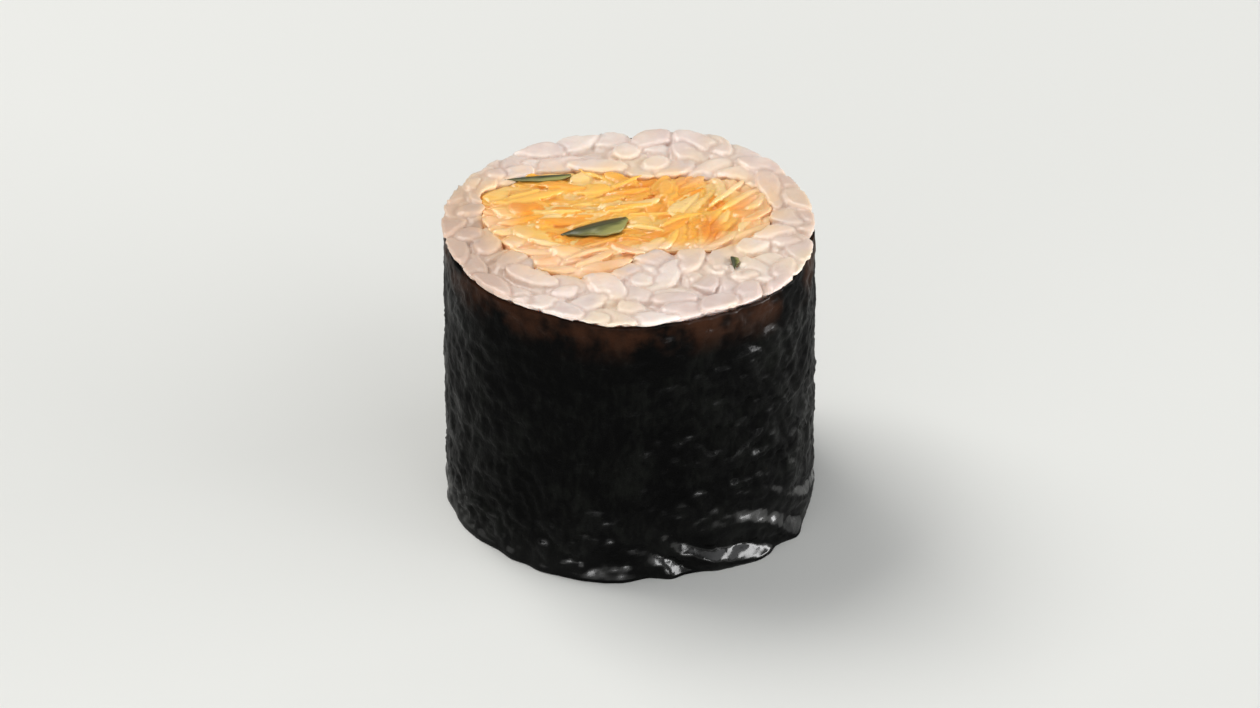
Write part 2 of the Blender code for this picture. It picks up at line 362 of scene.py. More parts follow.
@dataclass(frozen=True)
class Finish:
    """What every finish shares: a Principled shader with fixed and painted sockets."""

    name: str

    def material(self) -> bpy.types.Material:
        """Builds the material.

        Returns:
            The material.
        """
        made = bpy.data.materials.new(self.name)
        made.use_nodes = True
        graph = Graph(made.node_tree)
        place = graph.node("ShaderNodeTexCoord", output="Object")
        sockets = self.paint(graph, place)
        shader = graph.node("ShaderNodeBsdfPrincipled", {}, sockets)
        graph.node("ShaderNodeOutputMaterial", {}, {"Surface": shader})
        return made

    def paint(self, graph: Graph, place: Wire) -> dict[str, Any]:
        """The values and wires of the shader's sockets.

        Args:
            graph: the material's tree.
            place: object coordinates.

        Returns:
            A value or wire for each socket that isn't left as it is.
        """
        raise NotImplementedError

    @staticmethod
    def bump(graph: Graph, height: Wire, depth: float) -> Wire:
        """A normal from a relief of that depth in metres."""
        return graph.node("ShaderNodeBump", {}, {"Height": height, "Distance": depth, "Strength": 1.0})


@dataclass(frozen=True)
class NoriFinish(Finish):
    """Roasted seaweed that the rice has made moist: nearly black, with a satin crinkle."""

    name: str = "moist_nori"
    dark: Colour = srgb(2, 2, 2)
    pale: Colour = srgb(14, 15, 13)
    brown: Colour = srgb(62, 36, 22)
    patch_size: float = 3.2 * MM
    fibre_size: float = 0.5 * MM
    fibre_stretch: Triple = (1.0, 1.0, 2.2)
    pore_size: float = 0.22 * MM
    thin_weed: Range = (0.44, 0.70)
    brown_heights: Range = (20.5 * MM, 24.0 * MM)
    brown_patches: Range = (0.38, 0.60)
    brown_share: float = 0.6
    satin_patches: Range = (0.40, 0.62)
    satin: float = 0.16
    matt: float = 0.48
    shiny_ridges: Range = (0.5, 1.8)
    shiny_patches: Range = (0.34, 0.52)
    wet_patches: Range = (0.30, 0.5)
    crest_slope: Range = (0.16, 0.32)
    flank_shine: float = 0.15
    specular: float = 0.03
    coat_roughness: float = 0.17
    relief_depth: float = 0.10 * MM

    def paint(self, graph: Graph, place: Wire) -> dict[str, Any]:
        """Patches of thicker and thinner weed, with a felt of fibres and wetter ridges.

        Args:
            graph: the material's tree.
            place: object coordinates.

        Returns:
            The values and wires of the shader's sockets.
        """
        patches = graph.noise(place, self.patch_size, 5.0, 1.0)
        fibres = graph.noise(graph.local(place, self.fibre_stretch), self.fibre_size, 5.0, 2.0)
        pores = graph.noise(place, self.pore_size, 2.0, 3.0)
        thin = (patches * 0.6 + fibres * 0.4).ramp(*self.thin_weed)
        weed = graph.mix(thin, self.dark, self.pale)
        rim = place.axis("Z").ramp(*self.brown_heights) * patches.ramp(*self.brown_patches)
        ridges = graph.layer("ridge").ramp(*self.shiny_ridges) * patches.ramp(*self.shiny_patches)
        shine = ridges + graph.layer("wet") * (patches.ramp(*self.wet_patches) * 0.6 + 0.4)
        facing = graph.node("ShaderNodeNewGeometry", output="Normal")
        crest = facing.axis("Z").ramp(*self.crest_slope) * (1 - self.flank_shine) + self.flank_shine
        return {
            "Base Color": graph.mix(rim * self.brown_share, weed, self.brown),
            "Roughness": self.matt - patches.ramp(*self.satin_patches) * self.satin,
            "Specular IOR Level": self.specular,
            "Coat Weight": shine.math("MINIMUM", 1.0) * crest,
            "Coat Roughness": self.coat_roughness,
            "Normal": self.bump(graph, fibres * 0.6 + pores * 0.4, self.relief_depth),
        }


@dataclass(frozen=True)
class RiceFinish(Finish):
    """Cooked short-grain rice: translucent, moist, and tinted where it touches the sauce."""

    name: str = "cooked_rice"
    clear: Colour = srgb(220, 200, 192)
    opaque: Colour = srgb(240, 226, 218)
    cream: Colour = srgb(236, 214, 184)
    stain: Colour = srgb(250, 206, 154)
    # Painted shade for the seams between grains.
    seam_shade: Colour = srgb(218, 187, 171)
    # Painted shade: darker towards the left end of the ring, and less towards the right end.
    painted_shade: Colour = srgb(198, 170, 152)
    painted_shade_ends: tuple[tuple[Triple, Triple, float], ...] = (
        ((-14 * MM, -3 * MM, 24 * MM), (10 * MM, 15 * MM, 30 * MM), 0.8),
        ((14 * MM, 4 * MM, 24 * MM), (6 * MM, 9 * MM, 30 * MM), 0.4),
    )
    cloud_size: float = 1.6 * MM
    milky_clouds: Range = (0.35, 0.95)
    patch_size: float = 7.0 * MM
    cream_patches: Range = (0.42, 0.62)
    cream_share: float = 0.65
    seam_shade_range: Range = (0.2, 0.9)
    seam_shade_share: float = 0.28
    soaked_clouds: Range = (0.28, 0.60)
    soaked_share: float = 0.65
    skin_size: float = 0.5 * MM
    skin_range: Range = (0.3, 0.7)
    skin_depth: float = 0.06 * MM

    def paint(self, graph: Graph, place: Wire) -> dict[str, Any]:
        """Cloudy grains, with the sauce soaking in next to the filling, and with painted shade in the
        seams between grains and at both ends of the ring.

        Args:
            graph: the material's tree.
            place: object coordinates.

        Returns:
            The values and wires of the shader's sockets.
        """
        clouds = graph.noise(place, self.cloud_size, 3.0, 4.0)
        skin = graph.noise(place, self.skin_size, 3.0, 5.0)
        patches = graph.noise(place, self.patch_size, 2.0, 10.0)
        milky = (graph.layer("tone") * 0.45 + clouds * 0.9).ramp(*self.milky_clouds)
        cream = patches.ramp(*self.cream_patches) * self.cream_share
        # Painted shade: the rice is darker and warmer in the seams between grains.
        seam = graph.layer("seam").ramp(*self.seam_shade_range) * self.seam_shade_share
        soaked = graph.layer("stain") * clouds.ramp(*self.soaked_clouds) * self.soaked_share
        grains = graph.mix(milky, self.clear, self.opaque)
        grains = graph.mix(cream, grains, self.cream)
        grains = graph.mix(seam, grains, self.seam_shade)
        # Painted shade darkens the rice towards both ends of the ring.
        for centre, radii, share in self.painted_shade_ends:
            grains = graph.mix(graph.spot(place, centre, radii) * share, grains, self.painted_shade)
        return {
            "Base Color": graph.mix(soaked, grains, self.stain),
            "Roughness": 0.30 + skin.ramp(*self.skin_range) * 0.20,
            "Subsurface Weight": 0.45,
            "Subsurface Radius": (1.0, 0.75, 0.6),
            "Subsurface Scale": 0.9 * MM,
            "Coat Weight": 0.15,
            "Coat Roughness": 0.25,
            "Normal": self.bump(graph, skin, self.skin_depth),
        }


@dataclass(frozen=True)
class FillingFinish(Finish):
    """Chopped fish in an orange sauce: each shred its own colour, and wet."""

    name: str = "sauced_fish"
    deep: Colour = srgb(240, 142, 44)
    orange: Colour = srgb(254, 176, 68)
    yellow: Colour = srgb(254, 196, 94)
    flesh: Colour = srgb(255, 221, 160)
    peach: Colour = srgb(254, 212, 174)
    bright_north: Range = (1.0 * MM, 4.0 * MM)
    pale_east: Range = (2.0 * MM, 6.0 * MM)
    bright_middle: Range = (-4.6 * MM, -1.6 * MM)
    border_share: float = 0.85
    fibre_size: float = 0.30 * MM
    fibre_stretch: Triple = (5.0, 1.0, 1.0)
    fibre_depth: float = 0.07 * MM
    pool_size: float = 2.6 * MM
    pale_pools: Range = (0.24, 0.54)
    wet_pools: Range = (0.35, 0.65)
    hollow_share: float = 0.30
    thick_sauce: tuple[Triple, Triple] = ((6.4 * MM, -0.4 * MM, 24 * MM), (1.6 * MM, 2.6 * MM, 6 * MM))
    sauce_share: float = 0.9

    def paint(self, graph: Graph, place: Wire) -> dict[str, Any]:
        """Shreds from deep orange to pale flesh, with sauce in the hollows.

        Args:
            graph: the material's tree.
            place: object coordinates.

        Returns:
            The values and wires of the shader's sockets.
        """
        fibres = graph.noise(graph.local(place, self.fibre_stretch), self.fibre_size, 3.0, 6.0)
        pools = graph.noise(place, self.pool_size, 3.0, 7.0)
        mood = graph.layer("tone") * 0.75 + fibres * 0.30 + pools * 0.25 - 0.15
        stops = [(0.0, self.deep), (0.28, self.orange), (0.62, self.yellow), (1.0, self.flesh)]
        shreds = graph.node("ShaderNodeValToRGB", {"stops": stops}, {"Fac": mood}, "Color")
        east, north = place.axis("X"), place.axis("Y")
        bright = north.ramp(*self.bright_north) * (1 - east.ramp(*self.pale_east))
        border = graph.layer("border") * (1 - bright) * self.border_share
        outlying = (border + (1 - north.ramp(*self.bright_middle))).math("MINIMUM", 1.0)
        pale = outlying * (pools.ramp(*self.pale_pools) * 0.6 + 0.25)
        shreds = graph.mix(pale, shreds, self.peach)
        sauce = graph.spot(place, *self.thick_sauce) * self.sauce_share
        shreds = graph.mix(sauce, shreds, self.deep)
        return {
            "Base Color": graph.mix(graph.layer("hollow") * self.hollow_share, shreds, self.deep),
            "Roughness": 0.26 + pools.ramp(*self.wet_pools) * 0.18,
            "Subsurface Weight": 0.30,
            "Subsurface Radius": (1.0, 0.5, 0.2),
            "Subsurface Scale": 0.8 * MM,
            "Coat Weight": 0.35,
            "Coat Roughness": 0.12,
            "Normal": self.bump(graph, fibres, self.fibre_depth),
        }


@dataclass(frozen=True)
class ChiveFinish(Finish):
    """Wet green chive with darker veins along it."""

    name: str = "wet_chive"
    dark: Colour = srgb(56, 60, 24)
    light: Colour = srgb(148, 146, 84)
    vein_size: float = 0.22 * MM
    vein_stretch: Triple = (6.0, 1.0, 1.0)
    vein_turn: float = math.radians(25)
    vein_depth: float = 0.04 * MM
    light_range: Range = (0.1, 0.8)

    def paint(self, graph: Graph, place: Wire) -> dict[str, Any]:
        """Fine veins, paler towards the cut edge.

        Args:
            graph: the material's tree.
            place: object coordinates.

        Returns:
            The values and wires of the shader's sockets.
        """
        along = graph.local(place, self.vein_stretch, self.vein_turn)
        veins = graph.noise(along, self.vein_size, 2.0, 8.0)
        light = (graph.layer("edge") * 0.8 + veins * 0.5 - 0.2).ramp(*self.light_range)
        return {
            "Base Color": graph.mix(light, self.dark, self.light),
            "Roughness": 0.30 + veins * 0.15,
            "Coat Weight": 0.25,
            "Coat Roughness": 0.15,
            "Normal": self.bump(graph, veins, self.vein_depth),
        }


@dataclass(frozen=True)
class TableFinish(Finish):
    """The plain pale surface that the piece stands on."""

    name: str = "pale_table"
    colour: Colour = srgb(230, 231, 228)
    mottled: Colour = (0.6, 0.6, 0.6)
    mottle_size: float = 60 * MM
    mottle_share: float = 0.06

    def paint(self, graph: Graph, place: Wire) -> dict[str, Any]:
        """Matt, with the faintest mottle.

        Args:
            graph: the material's tree.
            place: object coordinates.

        Returns:
            The values and wires of the shader's sockets.
        """
        mottle = graph.noise(place, self.mottle_size, 2.0, 9.0) * self.mottle_share
        shade = graph.mix(mottle, self.colour, self.mottled)
        return {"Base Color": shade, "Roughness": 0.75, "Specular IOR Level": 0.2}


# Sections of the roll.


@dataclass(frozen=True)
class Lobe:
    """One wave round an oval: how many times it swells, by what share, and where."""

    order: int
    share: float
    phase: float


@dataclass(frozen=True)
class Oval:
    """A section of the roll, which twists a little on its way up."""

    half_width: float
    half_depth: float
    squareness: float
    lobes: tuple[Lobe, ...]
    twist: float
    roll_height: float
    barrel: float = 0.0
    centre: tuple[float, float] = (0.0, 0.0)

    def radius(self, angle: np.ndarray, height: np.ndarray | float) -> np.ndarray:
        """Distance from the centre to the outline.

        Args:
            angle: directions about the centre.
            height: heights along the roll.

        Returns:
            The distances.
        """
        share = np.clip(np.asarray(height) / self.roll_height, 0, 1)
        turned = angle - self.twist * (share - 1)
        follows = angle if self.centre == (0.0, 0.0) else turned
        across = np.abs(np.cos(follows) / self.half_width) ** self.squareness
        along = np.abs(np.sin(follows) / self.half_depth) ** self.squareness
        lobed = 1 + sum(lobe.share * np.cos(lobe.order * turned + lobe.phase) for lobe in self.lobes)
        swell = 1 - self.barrel * (2 * share - 1) ** 2
        return (across + along) ** (-1 / self.squareness) * lobed * swell

    def polar(self, points: np.ndarray) -> tuple[np.ndarray, np.ndarray]:
        """Directions and distances of points about the centre."""
        offset = points[:, :2] - np.array(self.centre)
        return np.arctan2(offset[:, 1], offset[:, 0]), np.hypot(offset[:, 0], offset[:, 1])

    def at(self, angle: np.ndarray, distance: np.ndarray, height: np.ndarray) -> np.ndarray:
        """Points at those directions, distances and heights.

        Args:
            angle: directions about the centre.
            distance: distances from it.
            height: one height for all, or one for each.

        Returns:
            The points as rows of X, Y and Z.
        """
        x = self.centre[0] + distance * np.cos(angle)
        y = self.centre[1] + distance * np.sin(angle)
        return np.stack([x, y, np.broadcast_to(height, x.shape)], axis=1)


def soft_limit(values: np.ndarray, limit: np.ndarray | float, ease: float) -> np.ndarray:
    """Values held below a limit, which they near in a smooth curve.

    Args:
        values: what is held back.
        limit: what it stays under.
        ease: how far below the limit the curve begins.

    Returns:
        The limited values.
    """
    over = np.maximum(values - (limit - ease), 0)
    return np.where(over > 0, limit - ease * np.exp(-over / ease), values)


def eased(share: np.ndarray) -> np.ndarray:
    """A share from 0 to 1 with a smooth start and end."""
    return share * share * (3 - 2 * share)


def bell(height: np.ndarray | float, size: float) -> np.ndarray:
    """1 at the table, falling off in a bell curve of that size."""
    return np.exp(-((height / size) ** 2))


def crease(phase: np.ndarray, sharpness: float = 0.97) -> np.ndarray:
    """A wave between -1 and 1 with flat flanks and sharp turns, as in folded paper."""
    return np.arcsin(sharpness * np.sin(phase)) / math.asin(sharpness)


def ripple(points: np.ndarray, size: float, phase: float) -> np.ndarray:
    """A smooth unevenness between -1 and 1 over X and Y, with swells of about that size.

    Args:
        points: rows of X, Y and Z.
        size: how wide a swell is.
        phase: picks one pattern among many.

    Returns:
        A value for each point.
    """
    x, y = points[:, 0] / size, points[:, 1] / size
    first = np.sin(2.1 * x + 1.3 * y + phase) + np.sin(1.7 * y - 2.4 * x + 2 * phase)
    return (first + np.sin(3.3 * x + phase) * np.cos(2.9 * y - phase)) / 3


# Meshes.


def read_points(mesh: bpy.types.Mesh) -> np.ndarray:
    """The vertices of a mesh as rows of X, Y and Z.

    Args:
        mesh: the mesh.

    Returns:
        The rows.
    """
    points = np.empty(len(mesh.vertices) * 3, np.float32)
    mesh.vertices.foreach_get("co", points)
    return points.reshape(-1, 3).astype(float)


def write_points(mesh: bpy.types.Mesh, points: np.ndarray) -> None:
    """Moves the vertices of a mesh."""
    mesh.vertices.foreach_set("co", points.astype(np.float32).ravel())
    mesh.update()


def write_layer(mesh: bpy.types.Mesh, name: str, values: np.ndarray) -> None:
    """Stores a number at each vertex."""
    layer = mesh.attributes.get(name) or mesh.attributes.new(name, "FLOAT", "POINT")
    layer.data.foreach_set("value", values.astype(np.float32))


def read_layer(mesh: bpy.types.Mesh, name: str) -> np.ndarray:
    """The number stored at each vertex, or a row of three for a vector.

    Args:
        mesh: the mesh.
        name: the layer's name.

    Returns:
        The numbers or rows.
    """
    layer = mesh.attributes[name]
    if layer.data_type == "FLOAT_VECTOR":
        values = np.empty(len(mesh.vertices) * 3, np.float32)
        layer.data.foreach_get("vector", values)
        return values.reshape(-1, 3)
    values = np.empty(len(mesh.vertices), np.float32)
    layer.data.foreach_get("value", values)
    return values


def mesh_of(bm: bmesh.types.BMesh, name: str) -> bpy.types.Mesh:
    """A mesh from a BMesh, which is freed.

    Args:
        bm: the BMesh.
        name: the mesh's name.

    Returns:
        The mesh.
    """
    mesh = bpy.data.meshes.new(name)
    bm.to_mesh(mesh)
    bm.free()
    return mesh


def linked(name: str, mesh: bpy.types.Mesh) -> bpy.types.Object:
    """An object of that mesh, in the scene.

    Args:
        name: the object's name.
        mesh: its mesh.

    Returns:
        The object.
    """
    obj = bpy.data.objects.new(name, mesh)
    bpy.context.scene.collection.objects.link(obj)
    return obj


def applied(obj: bpy.types.Object) -> bpy.types.Mesh:
    """The mesh that an object's modifiers make. The object is removed.

    Args:
        obj: the object.

    Returns:
        The plain mesh.
    """
    bpy.context.view_layer.update()
    graph = bpy.context.evaluated_depsgraph_get()
    mesh = bpy.data.meshes.new_from_object(obj.evaluated_get(graph))
    bpy.data.objects.remove(obj, do_unlink=True)
    return mesh


def joined(name: str, meshes: list[bpy.types.Mesh]) -> bpy.types.Mesh:
    """Several meshes as one, with the layers they share.

    Args:
        name: the new mesh's name.
        meshes: what is joined.

    Returns:
        The new mesh.
    """
    bm = bmesh.new()
    for mesh in meshes:
        bm.from_mesh(mesh)
    return mesh_of(bm, name)


def fused(mesh: bpy.types.Mesh, voxel: float) -> bpy.types.Mesh:
    """One closed skin round all of a mesh's shells, relaxed once.

    Args:
        mesh: closed shells that may run through each other.
        voxel: the size of the new faces.

    Returns:
        The skin.
    """
    obj = linked("fusing", mesh)
    remesh = obj.modifiers.new("fuse", "REMESH")
    remesh.mode = "VOXEL"
    remesh.voxel_size = voxel
    remesh.use_smooth_shade = True
    relax = obj.modifiers.new("relax", "SMOOTH")
    relax.factor = 0.5
    relax.iterations = 1
    return applied(obj)


def thickened(
    mesh: bpy.types.Mesh, thickness: float, *before: Callable[[bpy.types.Object], None]
) -> bpy.types.Mesh:
    """A sheet made a closed shell, half of its thickness to each side.

    Args:
        mesh: the sheet.
        thickness: of the shell.
        before: functions that put other modifiers on the object first.

    Returns:
        The shell.
    """
    obj = linked("thickening", mesh)
    for put in before:
        put(obj)
    shell = obj.modifiers.new("thickness", "SOLIDIFY")
    shell.thickness = thickness
    shell.offset = 0
    return applied(obj)


def without_crumbs(mesh: bpy.types.Mesh) -> bpy.types.Mesh:
    """A mesh without its tiny loose shells.

    Args:
        mesh: a fused skin.

    Returns:
        What is left of it.
    """
    bm = bmesh.new()
    bm.from_mesh(mesh)
    seen = set()
    crumbs = []
    for start in bm.verts:
        if start in seen:
            continue
        seen.add(start)
        shell = [start]
        for vert in shell:
            fresh = [other for edge in vert.link_edges if (other := edge.other_vert(vert)) not in seen]
            seen.update(fresh)
            shell += fresh
        if len(shell) < LEAST_SHELL:
            crumbs += shell
    bmesh.ops.delete(bm, geom=crumbs, context="VERTS")
    return mesh_of(bm, mesh.name)


def carry_layer(source: bpy.types.Mesh, target: bpy.types.Mesh, name: str) -> None:
    """Gives each vertex of one mesh the number of another's nearest face.

    Args:
        source: the mesh that has the layer.
        target: the mesh that gets it.
        name: the layer's name.
    """
    values = read_layer(source, name)
    faces = [tuple(face.vertices) for face in source.polygons]
    tree = BVHTree.FromPolygons(read_points(source).tolist(), faces)
    nearest = [faces[tree.find_nearest(point)[2]][0] for point in read_points(target)]
    write_layer(target, name, values[nearest])


def seams(mesh: bpy.types.Mesh, spread: int) -> np.ndarray:
    """How near each vertex is to where two pieces meet, from 0 to 1.

    Args:
        mesh: a skin whose "tone" differs from piece to piece.
        spread: how many edges a seam fades over.

    Returns:
        The nearness.
    """
    tone = read_layer(mesh, "tone")
    ends = np.empty(len(mesh.edges) * 2, np.int32)
    mesh.edges.foreach_get("vertices", ends)
    one, other = ends.reshape(-1, 2).T
    crossing = ends.reshape(-1, 2)[np.abs(tone[one] - tone[other]) > SAME_TONE]
    near = np.zeros(len(tone))
    near[crossing.ravel()] = 1
    count = np.maximum(np.bincount(ends, minlength=len(tone)), 1)
    for _ in range(spread):
        total = np.bincount(one, near[other], len(tone)) + np.bincount(other, near[one], len(tone))
        near = (near + total / count) / 2
    return near


def bridge(bm: bmesh.types.BMesh, rows: list[list[bmesh.types.BMVert]]) -> None:
    """Adds faces between each closed row of vertices and the next.

    Args:
        bm: where the rows are.
        rows: the vertices of each row, as many in each.
    """
    for low, high in zip(rows, rows[1:]):
        for here in range(len(low)):
            there = (here + 1) % len(low)
            bm.faces.new((low[here], high[here], high[there], low[there]))


def bed_mesh(
    outer: Callable[[np.ndarray], np.ndarray], inner: Callable[[np.ndarray], np.ndarray], rings: int = 4
) -> bpy.types.Mesh:
    """A flat ring of faces between two outlines, which pieces are scattered over.

    Args:
        outer: the outline's points for an array of directions.
        inner: the same for the inner outline.
        rings: faces from one outline to the other.

    Returns:
        The ring.
    """
    angle = np.linspace(0, 2 * np.pi, BED_STEPS, endpoint=False)
    bm = bmesh.new()
    rows = []
    for share in np.linspace(0, 1, rings + 1):
        points = inner(angle) * (1 - share) + outer(angle) * share
        rows.append([bm.verts.new(point) for point in points])
    bridge(bm, rows)
    return mesh_of(bm, "bed")


def ring_solid(
    outer: Callable[[np.ndarray, float], np.ndarray],
    inner: Callable[[np.ndarray, float], np.ndarray] | None,
    heights: list[float],
) -> bpy.types.Mesh:
    """A closed solid between two outlines, or inside one.

    Args:
        outer: the outline's points for directions and a height.
        inner: the hole's, or None for a solid without one.
        heights: where the outline is laid, from low to high.

    Returns:
        The solid.
    """
    angle = np.linspace(0, 2 * np.pi, SOLID_STEPS, endpoint=False)
    bm = bmesh.new()
    rows = [[bm.verts.new(point) for point in outer(angle, height)] for height in heights]
    if inner:
        holes = [[bm.verts.new(point) for point in inner(angle, height)] for height in heights]
        rows += holes[::-1]
        rows.append(rows[0])
    else:
        bm.faces.new(rows[0])
        bm.faces.new(rows[-1])
    bridge(bm, rows)
    bmesh.ops.recalc_face_normals(bm, faces=bm.faces)
    return mesh_of(bm, "solid")


def morsel(
    name: str, size: Triple, bend: float, taper: float, sides: int, rings: int
) -> bpy.types.Object:
    """A plump little piece that lies along X, such as a grain or a shred.

    Args:
        name: the object's name.
        size: its length, width and thickness.
        bend: how far its middle is bowed, as a share of its length.
        taper: how much thinner its far end is.
        sides: faces round it.
        rings: faces along it.

    Returns:
        The object, which is in no collection.
    """
    bm = bmesh.new()
    bmesh.ops.create_uvsphere(bm, u_segments=sides, v_segments=rings, radius=0.5)
    bmesh.ops.rotate(bm, verts=bm.verts, matrix=Matrix.Rotation(math.pi / 2, 3, "Y"))
    for vert in bm.verts:
        along = 2 * vert.co.x
        blunt = math.copysign(abs(along) ** 0.9, along)
        width = 1 - taper * 0.5 * (along + 1)
        vert.co.x = 0.5 * blunt * size[0]
        vert.co.y = vert.co.y * width * size[1] + bend * size[0] * along * along
        vert.co.z *= width * size[2]
    return bpy.data.objects.new(name, mesh_of(bm, name))


@dataclass(frozen=True)
class Scatter:
    """How pieces lie on a bed: their spacing, and the range of their turns and sizes."""

    spacing: float
    seed: int
    turn: Triple
    size_low: Triple
    size_high: Triple
    jitter: float
    follow: float = 0.0
    swing: float = 0.0
    swing_range: Range = (-1.0 * MM, 4.0 * MM)

    def inputs(self, stock: bpy.types.Collection) -> dict[str, Input]:
        """The named inputs of the tree.

        Args:
            stock: the pieces that are drawn from.

        Returns:
            Each input, with its value.
        """
        return {
            "Bed": Input("Geometry"),
            "Pieces": Input("Collection", stock),
            "Spacing": Input("Float", self.spacing),
            "Seed": Input("Int", self.seed),
            "Turn Low": Input("Vector", tuple(-part for part in self.turn)),
            "Turn High": Input("Vector", self.turn),
            "Size Low": Input("Vector", self.size_low),
            "Size High": Input("Vector", self.size_high),
            "Jitter": Input("Float", self.jitter),
            "Follow": Input("Float", self.follow),
            "Swing": Input("Float", self.swing),
        }

    def tree(self, inputs: dict[str, Input], material: bpy.types.Material) -> bpy.types.NodeTree:
        """The Geometry Nodes tree that lays the pieces.

        Args:
            inputs: its named inputs.
            material: the material of the pieces.

        Returns:
            The tree.
        """
        graph, given = geometry_tree("scatter", inputs, "Pieces")

        def draw(low: Any, high: Any, kind: str, step: int) -> Wire:
            """A random value for each point."""
            limits = {"Min": low, "Max": high, "Seed": given["Seed"] + step}
            return graph.node("FunctionNodeRandomValue", {"data_type": kind}, limits, "Value")

        def stored(geometry: Wire, kind: str, name: str, value: Wire) -> Wire:
            """The pieces with a value for each under that name.

            Args:
                geometry: the pieces.
                kind: what sort of value it is.
                name: the layer's name.
                value: the value.

            Returns:
                The pieces with that layer.
            """
            settings = {"data_type": kind, "domain": "INSTANCE"}
            parts = {"Geometry": geometry, "Name": name, "Value": value}
            return graph.node("GeometryNodeStoreNamedAttribute", settings, parts)

        ground = {"Mesh": given["Bed"], "Distance Min": given["Spacing"], "Density Max": MOST_PIECES}
        ground["Seed"] = given["Seed"]
        poisson = {"distribute_method": "POISSON"}
        points = graph.node("GeometryNodeDistributePointsOnFaces", poisson, ground, "Points")
        rise = draw(given["Jitter"] * -1, given["Jitter"], "FLOAT", 1)
        lift = graph.node("ShaderNodeCombineXYZ", {}, {"Z": rise})
        points = graph.node("GeometryNodeSetPosition", {}, {"Geometry": points, "Offset": lift})
        stock = {"Collection": given["Pieces"], "Separate Children": True, "Reset Children": True}
        place = graph.node("GeometryNodeInputPosition")
        east, north = place.axis("X"), place.axis("Y")
        round_axis = (north.math("ARCTAN2", east) + math.pi / 2) * given["Follow"]
        swung = east.ramp(*self.swing_range) * given["Swing"]
        along = graph.node("ShaderNodeCombineXYZ", {}, {"Z": round_axis + swung})
        tilt = draw(given["Turn Low"], given["Turn High"], "FLOAT_VECTOR", 2)
        turned = graph.node("ShaderNodeVectorMath", {"operation": "ADD"}, {0: tilt, 1: along})
        laid = graph.node("GeometryNodeInstanceOnPoints", {}, {
            "Points": points,
            "Instance": graph.node("GeometryNodeCollectionInfo", {}, stock),
            "Pick Instance": True,
            "Instance Index": draw(0, 9, "INT", 3),
            "Rotation": graph.node("FunctionNodeEulerToRotation", {}, {0: turned}),
            "Scale": draw(given["Size Low"], given["Size High"], "FLOAT_VECTOR", 4),
        })
        laid = stored(laid, "FLOAT", "tone", draw(0.0, 1.0, "FLOAT", 5))
        laid = stored(laid, "FLOAT", "level", draw(0.0, 1.0, "FLOAT", 6))
        laid = stored(laid, "FLOAT_VECTOR", "home", graph.node("GeometryNodeInputPosition"))
        graph.end(laid, "Pieces", material)
        return graph.tree

    def lay(
        self, bed: bpy.types.Mesh, pieces: list[bpy.types.Object], material: bpy.types.Material
    ) -> bpy.types.Mesh:
        """Lays the pieces on a bed.

        Args:
            bed: the faces that they are scattered over.
            pieces: the pieces that are drawn from.
            material: their material.

        Returns:
            All of them as one mesh, with a random "tone" and "level" for each piece and the
            place of its middle as its "home".
        """
        stock = bpy.data.collections.new("stock")
        for piece in pieces:
            stock.objects.link(piece)
        inputs = self.inputs(stock)
        tree = self.tree(inputs, material)
        holder = linked("laying", bed)
        put_tree(holder, tree, inputs)
        laid = applied(holder)
        bpy.data.collections.remove(stock)
        bpy.data.node_groups.remove(tree)
        for piece in pieces:
            bpy.data.objects.remove(piece, do_unlink=True)
        return laid


# The pieces of the roll.


@dataclass(kw_only=True)
class Piece:
    """A sub-assembly that ends as one mesh and stands for one or more solids."""

    name: str
    slot: Slot
    nodes: tuple[str, ...]
    finish: Finish

    def mesh(self, material: bpy.types.Material) -> bpy.types.Mesh:
        """Builds the mesh.

        Args:
            material: the piece's material.

        Returns:
            The mesh, with its place in its vertices.
        """
        raise NotImplementedError

    def build(self) -> bpy.types.Object:
        """Builds and dresses the piece and puts it on its body.

        Returns:
            The finished object.
        """
        material = self.finish.material()
        mesh = self.mesh(material)
        mesh.name = self.name
        mesh.materials.clear()
        mesh.materials.append(material)
        mesh.shade_smooth()
        piece = linked(self.name, mesh)
        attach(piece, BODY)
        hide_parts(*self.nodes)
        log.info("%s: %d faces", self.name, len(mesh.polygons))
        return piece


